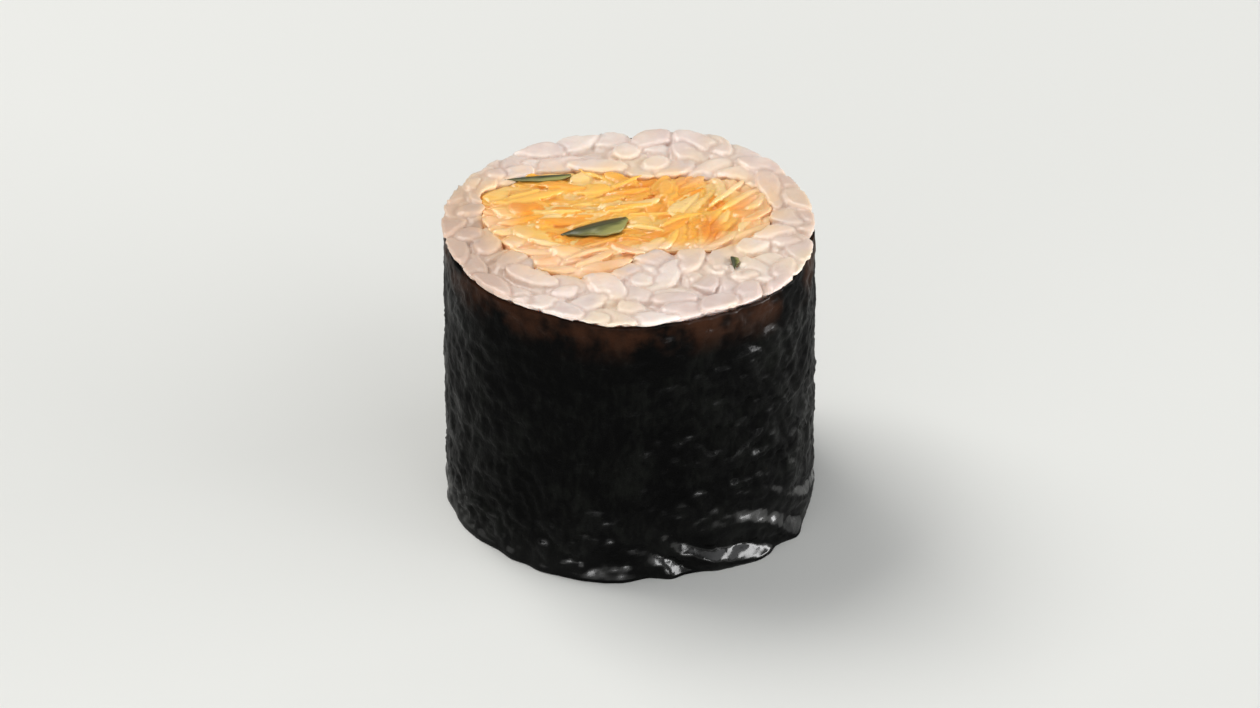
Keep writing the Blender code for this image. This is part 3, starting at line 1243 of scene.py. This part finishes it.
@dataclass(kw_only=True)
class NoriWrap(Piece):
    """The sheet of nori, wrapped once round and lapped at the back right."""

    roll: Oval
    name: str = "nori_sheet"
    slot: Slot = Slot.NORI
    finish: Finish = NoriFinish()
    nodes: tuple[str, ...] = ("nori_wrap",)
    thickness: float = 0.22 * MM
    foot: float = 0.05 * MM
    rim: float = 24.42 * MM
    rim_wave: float = 0.08 * MM
    inner_end: float = math.radians(40)
    lap: float = math.radians(62)
    end_wave: float = math.radians(1.6)
    climb: float = math.radians(50)
    lap_step: float = 0.36 * MM
    lap_skew: float = math.radians(3)
    steps_round: int = 420
    steps_up: int = 96
    dimple_size: float = 3.6 * MM
    dimple_depth: float = 0.60 * MM
    crinkle_size: float = 2.2 * MM
    crinkle_depth: float = 0.26 * MM
    crumpled_height: float = 4.0 * MM
    foot_hold: float = 1.2 * MM
    slack_side: float = SLACK_SIDE
    slack_height: float = SLACK_HEIGHT
    fold_size: float = 2.6 * MM
    fold_depth: float = 0.32 * MM
    sway_round: float = 1.9 * MM
    sway_up: float = 1.1 * MM
    sway_slant: float = 3.1 * MM
    wet_hem: float = 1.7 * MM
    hem_size: float = 0.95 * MM
    hem_depth: float = 0.42 * MM
    hem_dash: float = 0.75 * MM

    def sheet(self) -> bpy.types.Mesh:
        """The sheet in its place, before it crinkles.

        Returns:
            The sheet, with layers "wet" and "crumple".
        """
        bm = bmesh.new()
        bmesh.ops.create_grid(bm, x_segments=self.steps_round, y_segments=self.steps_up, size=0.5)
        mesh = mesh_of(bm, self.name)
        flat = read_points(mesh)
        share, up = flat[:, 0] + 0.5, flat[:, 1] + 0.5
        # The ragged upper rim and outer end are sums of waves that don't repeat together.
        wave = np.sin(9 * np.pi * share) + 0.6 * np.sin(37 * share + 1) + 0.35 * np.sin(83 * share)
        top = self.rim + self.rim_wave * wave
        height = self.foot + up * (top - self.foot)
        climbed = height / self.roll.roll_height
        ragged = self.end_wave * np.sin(5 * climbed + 1) + self.lap_skew * (climbed - 0.5)
        ragged = ragged + 0.2 * self.end_wave * np.sin(31 * climbed) * np.cos(13 * climbed)
        # The sheet goes round once, climbs onto its own beginning and laps over it.
        turned = share * (2 * np.pi + self.lap + ragged)
        risen = np.clip((turned - (2 * np.pi - self.climb)) / self.climb, 0, 1)
        risen = eased(risen) * self.lap_step
        angle = self.inner_end + turned
        arc = angle * self.roll.half_width
        # On its slack side it hangs in slanting folds, and its hem is pressed out on the table.
        side = 0.5 + 0.5 * np.cos(angle - self.slack_side)
        slack = side**6 * bell(height, self.slack_height)
        sway = 1.3 * np.sin(arc / self.sway_round)
        sway = sway + 0.8 * np.sin(height / self.sway_up + arc / self.sway_slant)
        folds = slack * crease(2 * np.pi * (0.9 * height + 0.4 * arc) / self.fold_size + sway)
        dashes = 0.76 + 0.24 * np.sin(arc / self.hem_dash + sway)
        flare = self.hem_depth * bell(height, self.hem_size) * dashes
        pushed = self.fold_depth * (folds + 0.6 * slack) + flare
        reach = self.roll.radius(angle, height) - self.thickness / 2 + risen + pushed
        write_points(mesh, self.roll.at(angle, reach, height))
        # It is wet and smooth where it is slack, and most crumpled low down.
        wet = np.clip(2.2 * slack + 0.9 * bell(height, self.wet_hem), 0, 1)
        damp = side**12 * (1 - wet)
        write_layer(mesh, "wet", wet + 0.16 * damp)
        low = np.exp(-height / self.crumpled_height)
        held = np.clip(height / self.foot_hold, 0.25, 1) * (1 - 0.62 * wet)
        write_layer(mesh, "crumple", (0.5 + low * (1.0 + 0.9 * side**4) + 0.4 * damp) * held)
        return mesh

    def inputs(self) -> dict[str, Input]:
        """The named inputs of the crinkle tree."""
        return {
            "Sheet": Input("Geometry"),
            "Dimple Size": Input("Float", self.dimple_size),
            "Dimple Depth": Input("Float", self.dimple_depth),
            "Crinkle Size": Input("Float", self.crinkle_size),
            "Crinkle Depth": Input("Float", self.crinkle_depth),
        }

    def crinkle_tree(self, material: bpy.types.Material) -> bpy.types.NodeTree:
        """Geometry Nodes that press the sheet onto the grains and crinkle it.

        Args:
            material: the sheet's material.

        Returns:
            The tree.
        """
        graph, given = geometry_tree("crinkle", self.inputs(), "Sheet")
        place = graph.node("GeometryNodeInputPosition")
        normal = graph.node("GeometryNodeInputNormal")

        def noise(scale: Wire, detail: float, seed: float) -> Wire:
            """Noise of a wire's scale, about 0."""
            pattern = {"Vector": place, "W": seed, "Scale": scale, "Detail": detail}
            return graph.node("ShaderNodeTexNoise", {"noise_dimensions": "4D"}, pattern) - 0.5

        named = {"Name": "crumple"}
        crumple = graph.node("GeometryNodeInputNamedAttribute", {"data_type": "FLOAT"}, named, "Attribute")
        pebbles = noise(1 / given["Dimple Size"], 1.0, 1.5) * given["Dimple Depth"]
        creases = noise(1 / given["Crinkle Size"], 2.5, 2.5).math("ABSOLUTE")
        finer = noise(2.3 / given["Crinkle Size"], 2.0, 4.5).math("ABSOLUTE")
        folds = (1 - creases * 9.0).math("MAXIMUM") + (1 - finer * 8.0).math("MAXIMUM") * 0.5
        push = (pebbles + (folds - 0.3) * given["Crinkle Depth"]) * crumple
        scaled = {0: normal, "Scale": push}
        offset = graph.node("ShaderNodeVectorMath", {"operation": "SCALE"}, scaled, "Vector")
        settings = {"data_type": "FLOAT", "domain": "POINT"}
        ridge = {"Geometry": given["Sheet"], "Name": "ridge", "Value": folds * crumple}
        sheet = graph.node("GeometryNodeStoreNamedAttribute", settings, ridge)
        sheet = graph.node("GeometryNodeSetPosition", {}, {"Geometry": sheet, "Offset": offset})
        graph.end(sheet, "Sheet", material)
        return graph.tree

    def mesh(self, material: bpy.types.Material) -> bpy.types.Mesh:
        """Rolls the sheet up, crinkles it and gives it its thickness.

        Args:
            material: the sheet's material.

        Returns:
            The sheet as a closed shell that stays above the table.
        """
        tree = self.crinkle_tree(material)
        made = thickened(self.sheet(), self.thickness, lambda obj: put_tree(obj, tree, self.inputs()))
        bpy.data.node_groups.remove(tree)
        points = read_points(made)
        points[:, 2] = np.maximum(points[:, 2], 0)
        write_points(made, points)
        return made


@dataclass(frozen=True)
class Bed:
    """A ring that pieces are laid on, by its depth under the cut and its insets."""

    depth: float
    outer_inset: float
    inner_inset: float
    scatter: Scatter


DENT_REACH = 1.05, 1.35  # of a sliver's half length and half width
DENT_EDGE = 1.15  # where a dent ends, as a share of that reach
DENT_SLOPE = 0.3  # how wide its sloping edge is
DENT_DEPTH = 0.34 * MM


@dataclass(frozen=True)
class Sliver:
    """Where a sliver of chive lies in the upper cut, and its size."""

    length: float
    width: float
    place: tuple[float, float]
    turn: float
    sunk: float = 0.0

    def local(self, points: np.ndarray) -> tuple[np.ndarray, np.ndarray]:
        """Points along and across the sliver, as shares of its half length and half width.

        Args:
            points: rows of X, Y and Z.

        Returns:
            The shares along it and across it.
        """
        x, y = points[:, 0] - self.place[0], points[:, 1] - self.place[1]
        along = x * math.cos(self.turn) + y * math.sin(self.turn)
        across = y * math.cos(self.turn) - x * math.sin(self.turn)
        return along / (self.length / 2), across / (self.width / 2)

    def dent(self, points: np.ndarray) -> np.ndarray:
        """How far the food gives way under the sliver at each point.

        Args:
            points: rows of X, Y and Z.

        Returns:
            The depth of the dent at each.
        """
        along, across = self.local(points)
        apart = np.hypot(along / DENT_REACH[0], across / DENT_REACH[1])
        return np.clip((DENT_EDGE - apart) / DENT_SLOPE, 0, 1) * (DENT_DEPTH - self.sunk)


@dataclass(kw_only=True)
class Packed(Piece):
    """Food in small pieces that are laid, pressed between walls and knife, and fused."""

    height: float
    slivers: tuple[Sliver, ...]
    beds: tuple[Bed, ...]
    depth: float
    recess: float
    foot: float = 0.01 * MM
    overlap: float = 0.5 * MM
    unevenness: float
    wave_size: float
    knife_ease: float
    facet_step: float
    facet_tilt: float
    seam_depth: float
    seam_spread: int
    voxel: float
    wall_ease: float
    slab_steps: int = 24
    slab_inset: float = 0.06 * MM
    middle_steps: int = 5
    middle_inset: float = 0.2 * MM

    def stock(self) -> list[bpy.types.Object]:
        """The pieces that are laid."""
        raise NotImplementedError

    def outer(self, angle: np.ndarray, height: float, inset: float) -> np.ndarray:
        """Points of the outer wall, moved inwards by the inset."""
        raise NotImplementedError

    def inner(self, angle: np.ndarray, height: float, inset: float) -> np.ndarray:
        """Points of the inner wall, moved outwards by the inset."""
        raise NotImplementedError

    def confine(self, points: np.ndarray) -> np.ndarray:
        """Squeezes points between the walls."""
        raise NotImplementedError

    def solid(self, heights: list[float], inset: float) -> bpy.types.Mesh:
        """A closed plain body between the walls."""
        raise NotImplementedError

    def press(self, pieces: bpy.types.Mesh) -> None:
        """Squeezes the pieces between the walls and both knife cuts.

        Args:
            pieces: the loose pieces, each with a "level" from 0 to 1 and its "home".
        """
        pressed = read_points(pieces)
        level = read_layer(pieces, "level")
        away = pressed - read_layer(pieces, "home")
        lean = 2 * np.pi * 7 * level
        tilt = self.facet_tilt * (np.cos(lean) * away[:, 0] + np.sin(lean) * away[:, 1])
        swell = self.unevenness * 0.5 * (ripple(pressed, self.wave_size, 0.7) - 1)
        top = self.height + swell - self.facet_step * level + tilt
        for sliver in self.slivers:
            top = top - sliver.dent(pressed)
        top = np.minimum(top, self.height)
        pressed[:, 2] = soft_limit(pressed[:, 2], top, self.knife_ease)
        low = np.maximum(0.6 * self.facet_step * level - tilt, 0.0)
        pressed[:, 2] = -soft_limit(-pressed[:, 2], -low, self.knife_ease / 2)
        write_points(pieces, self.confine(pressed))

    def laid(self, material: bpy.types.Material) -> bpy.types.Mesh:
        """All loose pieces of both cuts, pressed.

        Args:
            material: their material.

        Returns:
            The pieces, which run into each other.
        """
        meshes = []
        for step, bed in enumerate(self.beds):
            rings = []
            for cut in Cut:
                at = (0.0 if cut is Cut.LOWER else self.height) - cut.value * bed.depth
                rings.append(self.ring(at, bed))
            meshes.append(bed.scatter.lay(joined("bed", rings), self.stock(), material))
            log.debug("bed %d of %s", step, self.name)
        pieces = joined("pieces", meshes)
        self.press(pieces)
        return pieces

    def ring(self, at: float, bed: Bed) -> bpy.types.Mesh:
        """The faces of one bed at a height.

        Args:
            at: the height.
            bed: the bed.

        Returns:
            Its faces.
        """
        return bed_mesh(
            lambda angle: self.outer(angle, at, bed.outer_inset),
            lambda angle: self.inner(angle, at, bed.inner_inset),
        )

    def mesh(self, material: bpy.types.Material) -> bpy.types.Mesh:
        """Lays, presses and fuses the pieces, and closes the roll's hidden middle.

        Args:
            material: the material of the pieces.

        Returns:
            The food, with how near each point is to a "seam" between pieces.
        """
        pieces = self.laid(material)
        low, high = self.recess, self.height - self.recess
        slabs = [
            self.solid(list(np.linspace(*ends, self.slab_steps)), self.slab_inset)
            for ends in ((low, self.depth), (self.height - self.depth, high))
        ]
        skin = without_crumbs(fused(joined("packed", [pieces, *slabs]), self.voxel))
        carry_layer(pieces, skin, "tone")
        near = seams(skin, self.seam_spread)
        write_layer(skin, "seam", near)
        normals = np.empty(len(skin.vertices) * 3, np.float32)
        skin.vertex_normals.foreach_get("vector", normals)
        settled = read_points(skin) - normals.reshape(-1, 3) * (self.seam_depth * near)[:, None]
        settled[:, 2] = np.clip(settled[:, 2], self.foot, self.height)
        write_points(skin, settled)
        ends = self.depth - self.overlap, self.height - self.depth + self.overlap
        middle = self.solid(list(np.linspace(*ends, self.middle_steps)), self.middle_inset)
        return joined(self.name, [skin, middle])


@dataclass(kw_only=True)
class Rice(Packed):
    """The ring of rice: grains at both cuts, fused to a core."""

    roll: Oval
    core: Oval
    name: str = "rice_grains"
    slot: Slot = Slot.RICE
    finish: Finish = RiceFinish()
    nodes: tuple[str, ...] = ("rice",)
    grain: Triple = (5.5 * MM, 2.65 * MM, 2.5 * MM)
    nori_room: float = 0.30 * MM
    rim: float = 24.50 * MM
    lip: float = 0.32 * MM
    lip_rise: float = 0.20 * MM
    depth: float = 3.4 * MM
    recess: float = 0.55 * MM
    unevenness: float = 0.08 * MM
    wave_size: float = 2.4 * MM
    knife_ease: float = 0.14 * MM
    facet_step: float = 0.24 * MM
    facet_tilt: float = 0.06
    seam_depth: float = 0.17 * MM
    seam_spread: int = 2
    lap_room: float = 0.45 * MM
    slack_side: float = SLACK_SIDE
    slack_height: float = SLACK_HEIGHT
    slack_room: float = 0.25 * MM
    filling_overlap: float = 0.22 * MM
    filling_ease: float = 0.20 * MM
    wall_ease: float = 0.22 * MM
    lap_middle: float = math.radians(66)
    stain_reach: float = 1.5 * MM
    band_width: float = 0.3 * MM
    voxel: float = 0.178 * MM
    beds: tuple[Bed, ...] = (
        Bed(0.60 * MM, 0.40 * MM, 3.0 * MM, Scatter(
            spacing=1.9 * MM,
            seed=3,
            turn=(3.14, 0.30, 0.75),
            size_low=(0.80, 0.90, 0.92),
            size_high=(1.05, 1.08, 1.08),
            jitter=0.22 * MM,
            follow=1.0,
        )),
        Bed(0.65 * MM, 2.3 * MM, 0.8 * MM, Scatter(
            spacing=2.5 * MM,
            seed=12,
            turn=(3.14, 0.45, 3.14),
            size_low=(0.86, 0.90, 0.90),
            size_high=(1.10, 1.08, 1.08),
            jitter=0.30 * MM,
        )),
        Bed(1.45 * MM, 1.5 * MM, 0.8 * MM, Scatter(
            spacing=2.5 * MM,
            seed=31,
            turn=(3.14, 1.1, 3.14),
            size_low=(0.86, 0.90, 0.90),
            size_high=(1.10, 1.08, 1.08),
            jitter=0.20 * MM,
        )),
    )

    def stock(self) -> list[bpy.types.Object]:
        """Three slightly different grains."""
        length, width, thickness = self.grain
        return [
            morsel("grain_0", (length, width, thickness), 0.03, 0.10, 16, 14),
            morsel("grain_1", (length * 0.92, width * 1.05, thickness), 0.05, 0.22, 16, 14),
            morsel("grain_2", (length * 1.05, width * 0.93, thickness), -0.02, 0.05, 16, 14),
        ]

    def outer_radius(self, angle: np.ndarray, height: np.ndarray | float) -> np.ndarray:
        """How far out the rice may reach: inside the nori, then a little over its rim.

        Args:
            angle: directions about the roll's centre.
            height: heights along the roll.

        Returns:
            The distances from the centre.
        """
        rise = eased(np.clip((np.asarray(height) - self.rim) / self.lip_rise, 0, 1))
        lapped = np.clip(1.6 * np.cos(angle - self.lap_middle) - 0.75, 0, 1) * self.lap_room
        reach = rise * (self.nori_room + self.lip + lapped)
        side = 0.5 + 0.5 * np.cos(angle - self.slack_side)
        reach = reach - self.slack_room * side**4 * bell(height, self.slack_height)
        return self.roll.radius(angle, height) - self.nori_room + reach

    def outer(self, angle: np.ndarray, height: float, inset: float) -> np.ndarray:
        """Points inside the nori."""
        return self.roll.at(angle, self.outer_radius(angle, height) - inset, height)

    def inner(self, angle: np.ndarray, height: float, inset: float) -> np.ndarray:
        """Points outside the filling."""
        return self.core.at(angle, self.core.radius(angle, height) + inset, height)

    def ring(self, at: float, bed: Bed) -> bpy.types.Mesh:
        """The faces of one bed. One that follows the nori is a narrow band along it.

        Args:
            at: the height.
            bed: the bed.

        Returns:
            Its faces.
        """
        if bed.scatter.follow == 0:
            return super().ring(at, bed)
        return bed_mesh(
            lambda angle: self.outer(angle, at, bed.outer_inset),
            lambda angle: self.outer(angle, at, bed.outer_inset + self.band_width),
            rings=1,
        )

    def solid(self, heights: list[float], inset: float) -> bpy.types.Mesh:
        """A ring of solid rice."""
        return ring_solid(
            lambda angle, at: self.outer(angle, at, inset),
            lambda angle, at: self.inner(angle, at, inset),
            heights,
        )

    def confine(self, points: np.ndarray) -> np.ndarray:
        """Squeezes points between the filling and the nori.

        Args:
            points: rows of X, Y and Z.

        Returns:
            The points in their new places.
        """
        height = points[:, 2]
        angle, distance = self.core.polar(points)
        wall = self.core.radius(angle, height) - self.filling_overlap
        distance = -soft_limit(-distance, -wall, self.filling_ease)
        angle, distance = self.roll.polar(self.core.at(angle, distance, height))
        limit = self.outer_radius(angle, height)
        return self.roll.at(angle, soft_limit(distance, limit, self.wall_ease), height)

    def mesh(self, material: bpy.types.Material) -> bpy.types.Mesh:
        """Packs the grains.

        Args:
            material: their material.

        Returns:
            The rice, with a "stain" that fades away from the filling.
        """
        whole = super().mesh(material)
        points = read_points(whole)
        angle, distance = self.core.polar(points)
        near = np.maximum(distance - self.core.radius(angle, points[:, 2]), 0)
        write_layer(whole, "stain", np.exp(-near / self.stain_reach))
        return whole


@dataclass(kw_only=True)
class Filling(Packed):
    """The chopped filling: shreds at both cuts, fused to a core."""

    core: Oval
    name: str = "fish_filling"
    slot: Slot = Slot.FILLING
    finish: Finish = FillingFinish()
    nodes: tuple[str, ...] = ("filling",)
    shred: Triple = (6.0 * MM, 1.3 * MM, 0.9 * MM)
    depth: float = 2.6 * MM
    recess: float = 0.5 * MM
    unevenness: float = 0.20 * MM
    wave_size: float = 1.3 * MM
    knife_ease: float = 0.12 * MM
    facet_step: float = 0.24 * MM
    facet_tilt: float = 0.05
    seam_depth: float = 0.10 * MM
    seam_spread: int = 1
    rice_room: float = -0.04 * MM
    wall_ease: float = 0.30 * MM
    hollow_depth: float = 0.9 * MM
    hollow_from: float = 0.35
    border_range: Range = (0.70, 0.95)
    voxel: float = 0.132 * MM
    beds: tuple[Bed, ...] = (
        Bed(0.35 * MM, 0.7 * MM, 0.05 * MM, Scatter(
            spacing=1.15 * MM,
            seed=5,
            turn=(0.6, 0.16, 0.65),
            size_low=(0.55, 0.75, 0.8),
            size_high=(1.25, 1.30, 1.2),
            jitter=0.28 * MM,
            swing=math.radians(62),
        )),
        Bed(0.95 * MM, 0.7 * MM, 0.05 * MM, Scatter(
            spacing=1.2 * MM,
            seed=8,
            turn=(0.6, 0.16, 0.9),
            size_low=(0.55, 0.85, 0.9),
            size_high=(1.15, 1.35, 1.3),
            jitter=0.25 * MM,
            swing=math.radians(48),
        )),
    )

    def stock(self) -> list[bpy.types.Object]:
        """A strand, a broad flake and a thread."""
        length, width, thickness = self.shred
        return [
            morsel("shred_0", (length, width * 0.8, thickness), 0.05, 0.3, 8, 8),
            morsel("shred_1", (length * 0.65, width * 1.6, thickness * 0.8), 0.03, 0.2, 8, 8),
            morsel("shred_2", (length * 1.1, width * 0.6, thickness * 0.9), -0.06, 0.4, 8, 8),
        ]

    def outer(self, angle: np.ndarray, height: float, inset: float) -> np.ndarray:
        """Points inside the rice."""
        return self.core.at(angle, self.core.radius(angle, height) - inset, height)

    def inner(self, angle: np.ndarray, height: float, inset: float) -> np.ndarray:
        """Points close round the middle."""
        return self.core.at(angle, np.full_like(angle, inset), height)

    def solid(self, heights: list[float], inset: float) -> bpy.types.Mesh:
        """A plug of solid filling."""
        return ring_solid(lambda angle, at: self.outer(angle, at, inset), None, heights)

    def confine(self, points: np.ndarray) -> np.ndarray:
        """Squeezes points inside the rice.

        Args:
            points: rows of X, Y and Z.

        Returns:
            The points in their new places.
        """
        angle, distance = self.core.polar(points)
        limit = self.core.radius(angle, points[:, 2]) - self.rice_room
        return self.core.at(angle, soft_limit(distance, limit, self.wall_ease), points[:, 2])

    def mesh(self, material: bpy.types.Material) -> bpy.types.Mesh:
        """Packs the shreds.

        Args:
            material: their material.

        Returns:
            The filling, with how "hollow" it is, which is how deep it lies under the cut, and
            with its "border".
        """
        whole = super().mesh(material)
        points = read_points(whole)
        height = points[:, 2]
        below = np.minimum(self.height - height, height)
        write_layer(whole, "hollow", np.clip(below / self.hollow_depth - self.hollow_from, 0, 1))
        angle, distance = self.core.polar(points)
        share = distance / self.core.radius(angle, height)
        start, end = self.border_range
        write_layer(whole, "border", np.clip((share - start) / (end - start), 0, 1))
        return whole


@dataclass(kw_only=True)
class Chive(Piece):
    """A sliver of chive that lies in the upper cut face."""

    sliver: Sliver
    top: float
    slot: Slot = Slot.CHIVE
    finish: Finish = ChiveFinish()
    thickness: float = 0.3 * MM
    fold: float = 0.25
    bow: float = 0.08
    droop: float = 0.06
    stem_length: float = 1.45
    tip_from: float = 0.3
    tip_narrowing: float = 0.78
    least_width: float = 0.05
    edge_wave: float = 0.05
    steps_along: int = 28
    steps_across: int = 8

    def mesh(self, material: bpy.types.Material) -> bpy.types.Mesh:
        """A pointed blade, folded along its middle and given its thickness.

        Args:
            material: the blade's material, which build() gives it.

        Returns:
            The blade, in its place in the cut.
        """
        bm = bmesh.new()
        bmesh.ops.create_grid(bm, x_segments=self.steps_along, y_segments=self.steps_across, size=0.5)
        blade = mesh_of(bm, self.name)
        flat = read_points(blade)
        length, width = self.sliver.length, self.sliver.width
        along, across = 2 * flat[:, 0], 2 * flat[:, 1]
        rise = np.clip((along + 1) / self.stem_length, 0, 1) ** 1.1
        tip = np.clip((along - self.tip_from) / (1 - self.tip_from), 0, 1) ** 2
        fall = 1 - self.tip_narrowing * tip
        half = width / 2 * np.maximum(np.sin(np.pi / 2 * rise) * fall, self.least_width)
        half = half * (1 + self.edge_wave * np.sin(11 * along + 1))
        x = along * length / 2
        y = (across - 1) * half + width / 2 + self.bow * width * (1 - along**2)
        z = self.fold * half * (1 - np.abs(across)) - self.droop * width * along**2
        turn = np.array(Euler((0, 0, self.sliver.turn)).to_matrix())
        points = np.stack([x, y, z], axis=1) @ turn.T
        points[:, 2] += self.top - self.sliver.sunk - points[:, 2].max() - self.thickness / 2
        points[:, :2] += np.array(self.sliver.place)
        write_points(blade, points)
        inside = np.clip(0.35 - across, 0, 1) * (0.35 + 0.65 * np.clip(along + 0.5, 0, 1))
        write_layer(blade, "edge", inside)
        return thickened(blade, self.thickness)


@dataclass
class Studio:
    """The pale table, the soft lights and the camera."""

    target: Vector = field(default_factory=lambda: Vector((0.0, 0.0, 0.0126)))
    distance: float = 1.02
    elevation: float = math.radians(34.6)
    lens: float = 365.0
    view_range: Range = (0.05, 20.0)
    floor_half: float = 1.5
    glow: float = 0.24

    def camera(self) -> None:
        """A long lens that looks along +Y and down at the piece."""
        data = bpy.data.cameras.new("camera")
        data.lens = self.lens
        data.clip_start, data.clip_end = self.view_range
        camera = bpy.data.objects.new("camera", data)
        away = Vector((0, -math.cos(self.elevation), math.sin(self.elevation)))
        camera.location = self.target + away * self.distance
        camera.rotation_euler = (math.pi / 2 - self.elevation, 0, 0)
        bpy.context.scene.collection.objects.link(camera)
        bpy.context.scene.camera = camera

    def light(self, name: str, place: Triple, size: Range, power: float, colour: Colour) -> None:
        """A soft light that faces the piece.

        Args:
            name: the light's name.
            place: where it hangs.
            size: its width and height.
            power: in watts.
            colour: its tint.
        """
        data = bpy.data.lights.new(name, "AREA")
        data.shape = "RECTANGLE"
        data.size, data.size_y = size
        data.energy = power
        data.color = colour
        lamp = bpy.data.objects.new(name, data)
        lamp.location = place
        aim = self.target - Vector(place)
        lamp.rotation_euler = aim.to_track_quat("-Z", "Y").to_euler()
        bpy.context.scene.collection.objects.link(lamp)

    def floor(self) -> None:
        """The table."""
        bm = bmesh.new()
        bmesh.ops.create_grid(bm, x_segments=1, y_segments=1, size=self.floor_half)
        table = linked("table", mesh_of(bm, "table"))
        table.data.materials.append(TableFinish().material())
        table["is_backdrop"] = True

    def world(self) -> None:
        """Even light from all round."""
        world = bpy.data.worlds.new("studio")
        world.use_nodes = True
        graph = Graph(world.node_tree)
        colours = {"Color": (1.0, 1.0, 1.0, 1.0), "Strength": self.glow}
        glow = graph.node("ShaderNodeBackground", {}, colours)
        graph.node("ShaderNodeOutputWorld", {}, {"Surface": glow})
        bpy.context.scene.world = world

    def build(self) -> None:
        """Sets up the whole studio."""
        self.camera()
        self.floor()
        self.world()
        self.light("key", (-0.45, 0.35, 0.85), (0.60, 0.60), 7.3, (1.0, 0.985, 0.96))
        self.light("fill", (0.60, -0.55, 0.60), (0.80, 0.80), 2.2, (0.97, 0.985, 1.0))
        self.light("front_strip", (-0.25, -1.00, 0.13), (1.8, 0.12), 9.5, (1.0, 1.0, 1.0))
        self.light("side_strip", (0.95, -0.12, 0.15), (1.0, 0.20), 8.0, (1.0, 1.0, 1.0))
        bpy.context.scene.view_settings.view_transform = "Standard"


def plain(box: tuple[Vector, Vector]) -> list[list[float]]:
    """A box as plain lists of numbers."""
    return [[float(part) for part in corner] for corner in box]


def main() -> None:
    """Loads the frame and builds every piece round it."""
    logging.basicConfig(level=logging.INFO, format="%(name)s: %(message)s")
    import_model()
    solid = plain(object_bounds())
    height = solid[1][2]
    roll = Oval(
        half_width=29.3 * MM / 2,
        half_depth=26.7 * MM / 2,
        squareness=2.11,
        lobes=(
            Lobe(3, 0.008, -2.6),
            Lobe(4, 0.015, 1.2),
            Lobe(5, 0.010, 1.6),
            Lobe(7, 0.008, -1.3),
        ),
        twist=math.radians(12),
        roll_height=height,
        barrel=0.012,
    )
    core = Oval(
        half_width=11.8 * MM,
        half_depth=6.5 * MM,
        squareness=2.4,
        lobes=(
            Lobe(1, 0.092, -2.60),
            Lobe(2, 0.091, -1.76),
            Lobe(3, 0.128, -0.52),
            Lobe(4, 0.048, 1.86),
            Lobe(5, 0.034, -2.94),
            Lobe(11, 0.016, 0.4),
            Lobe(17, 0.014, 2.1),
            Lobe(23, 0.010, 4.0),
        ),
        twist=math.radians(14),
        roll_height=height,
        centre=(-0.3 * MM, 1.0 * MM),
    )
    slivers = {
        "chive_leaf": Sliver(5.7 * MM, 1.9 * MM, (-2.5 * MM, -0.7 * MM), math.radians(26)),
        "chive_strip": Sliver(5.3 * MM, 0.65 * MM, (-7.3 * MM, 6.6 * MM), math.radians(8), 0.1 * MM),
        "chive_fleck": Sliver(1.6 * MM, 0.6 * MM, (8.4 * MM, -5.3 * MM), math.radians(100)),
    }
    beds = tuple(slivers.values())
    pieces: list[Piece] = [
        NoriWrap(roll=roll),
        Rice(roll=roll, core=core, height=height, slivers=beds),
        Filling(core=core, height=height, slivers=beds),
    ]
    for node, sliver in slivers.items():
        name = "green_" + node.split("_")[1]
        pieces.append(Chive(name=name, nodes=(node,), sliver=sliver, top=height))
    for piece in pieces:
        piece.build()
    Studio().build()


if __name__ == "__main__":
    main()
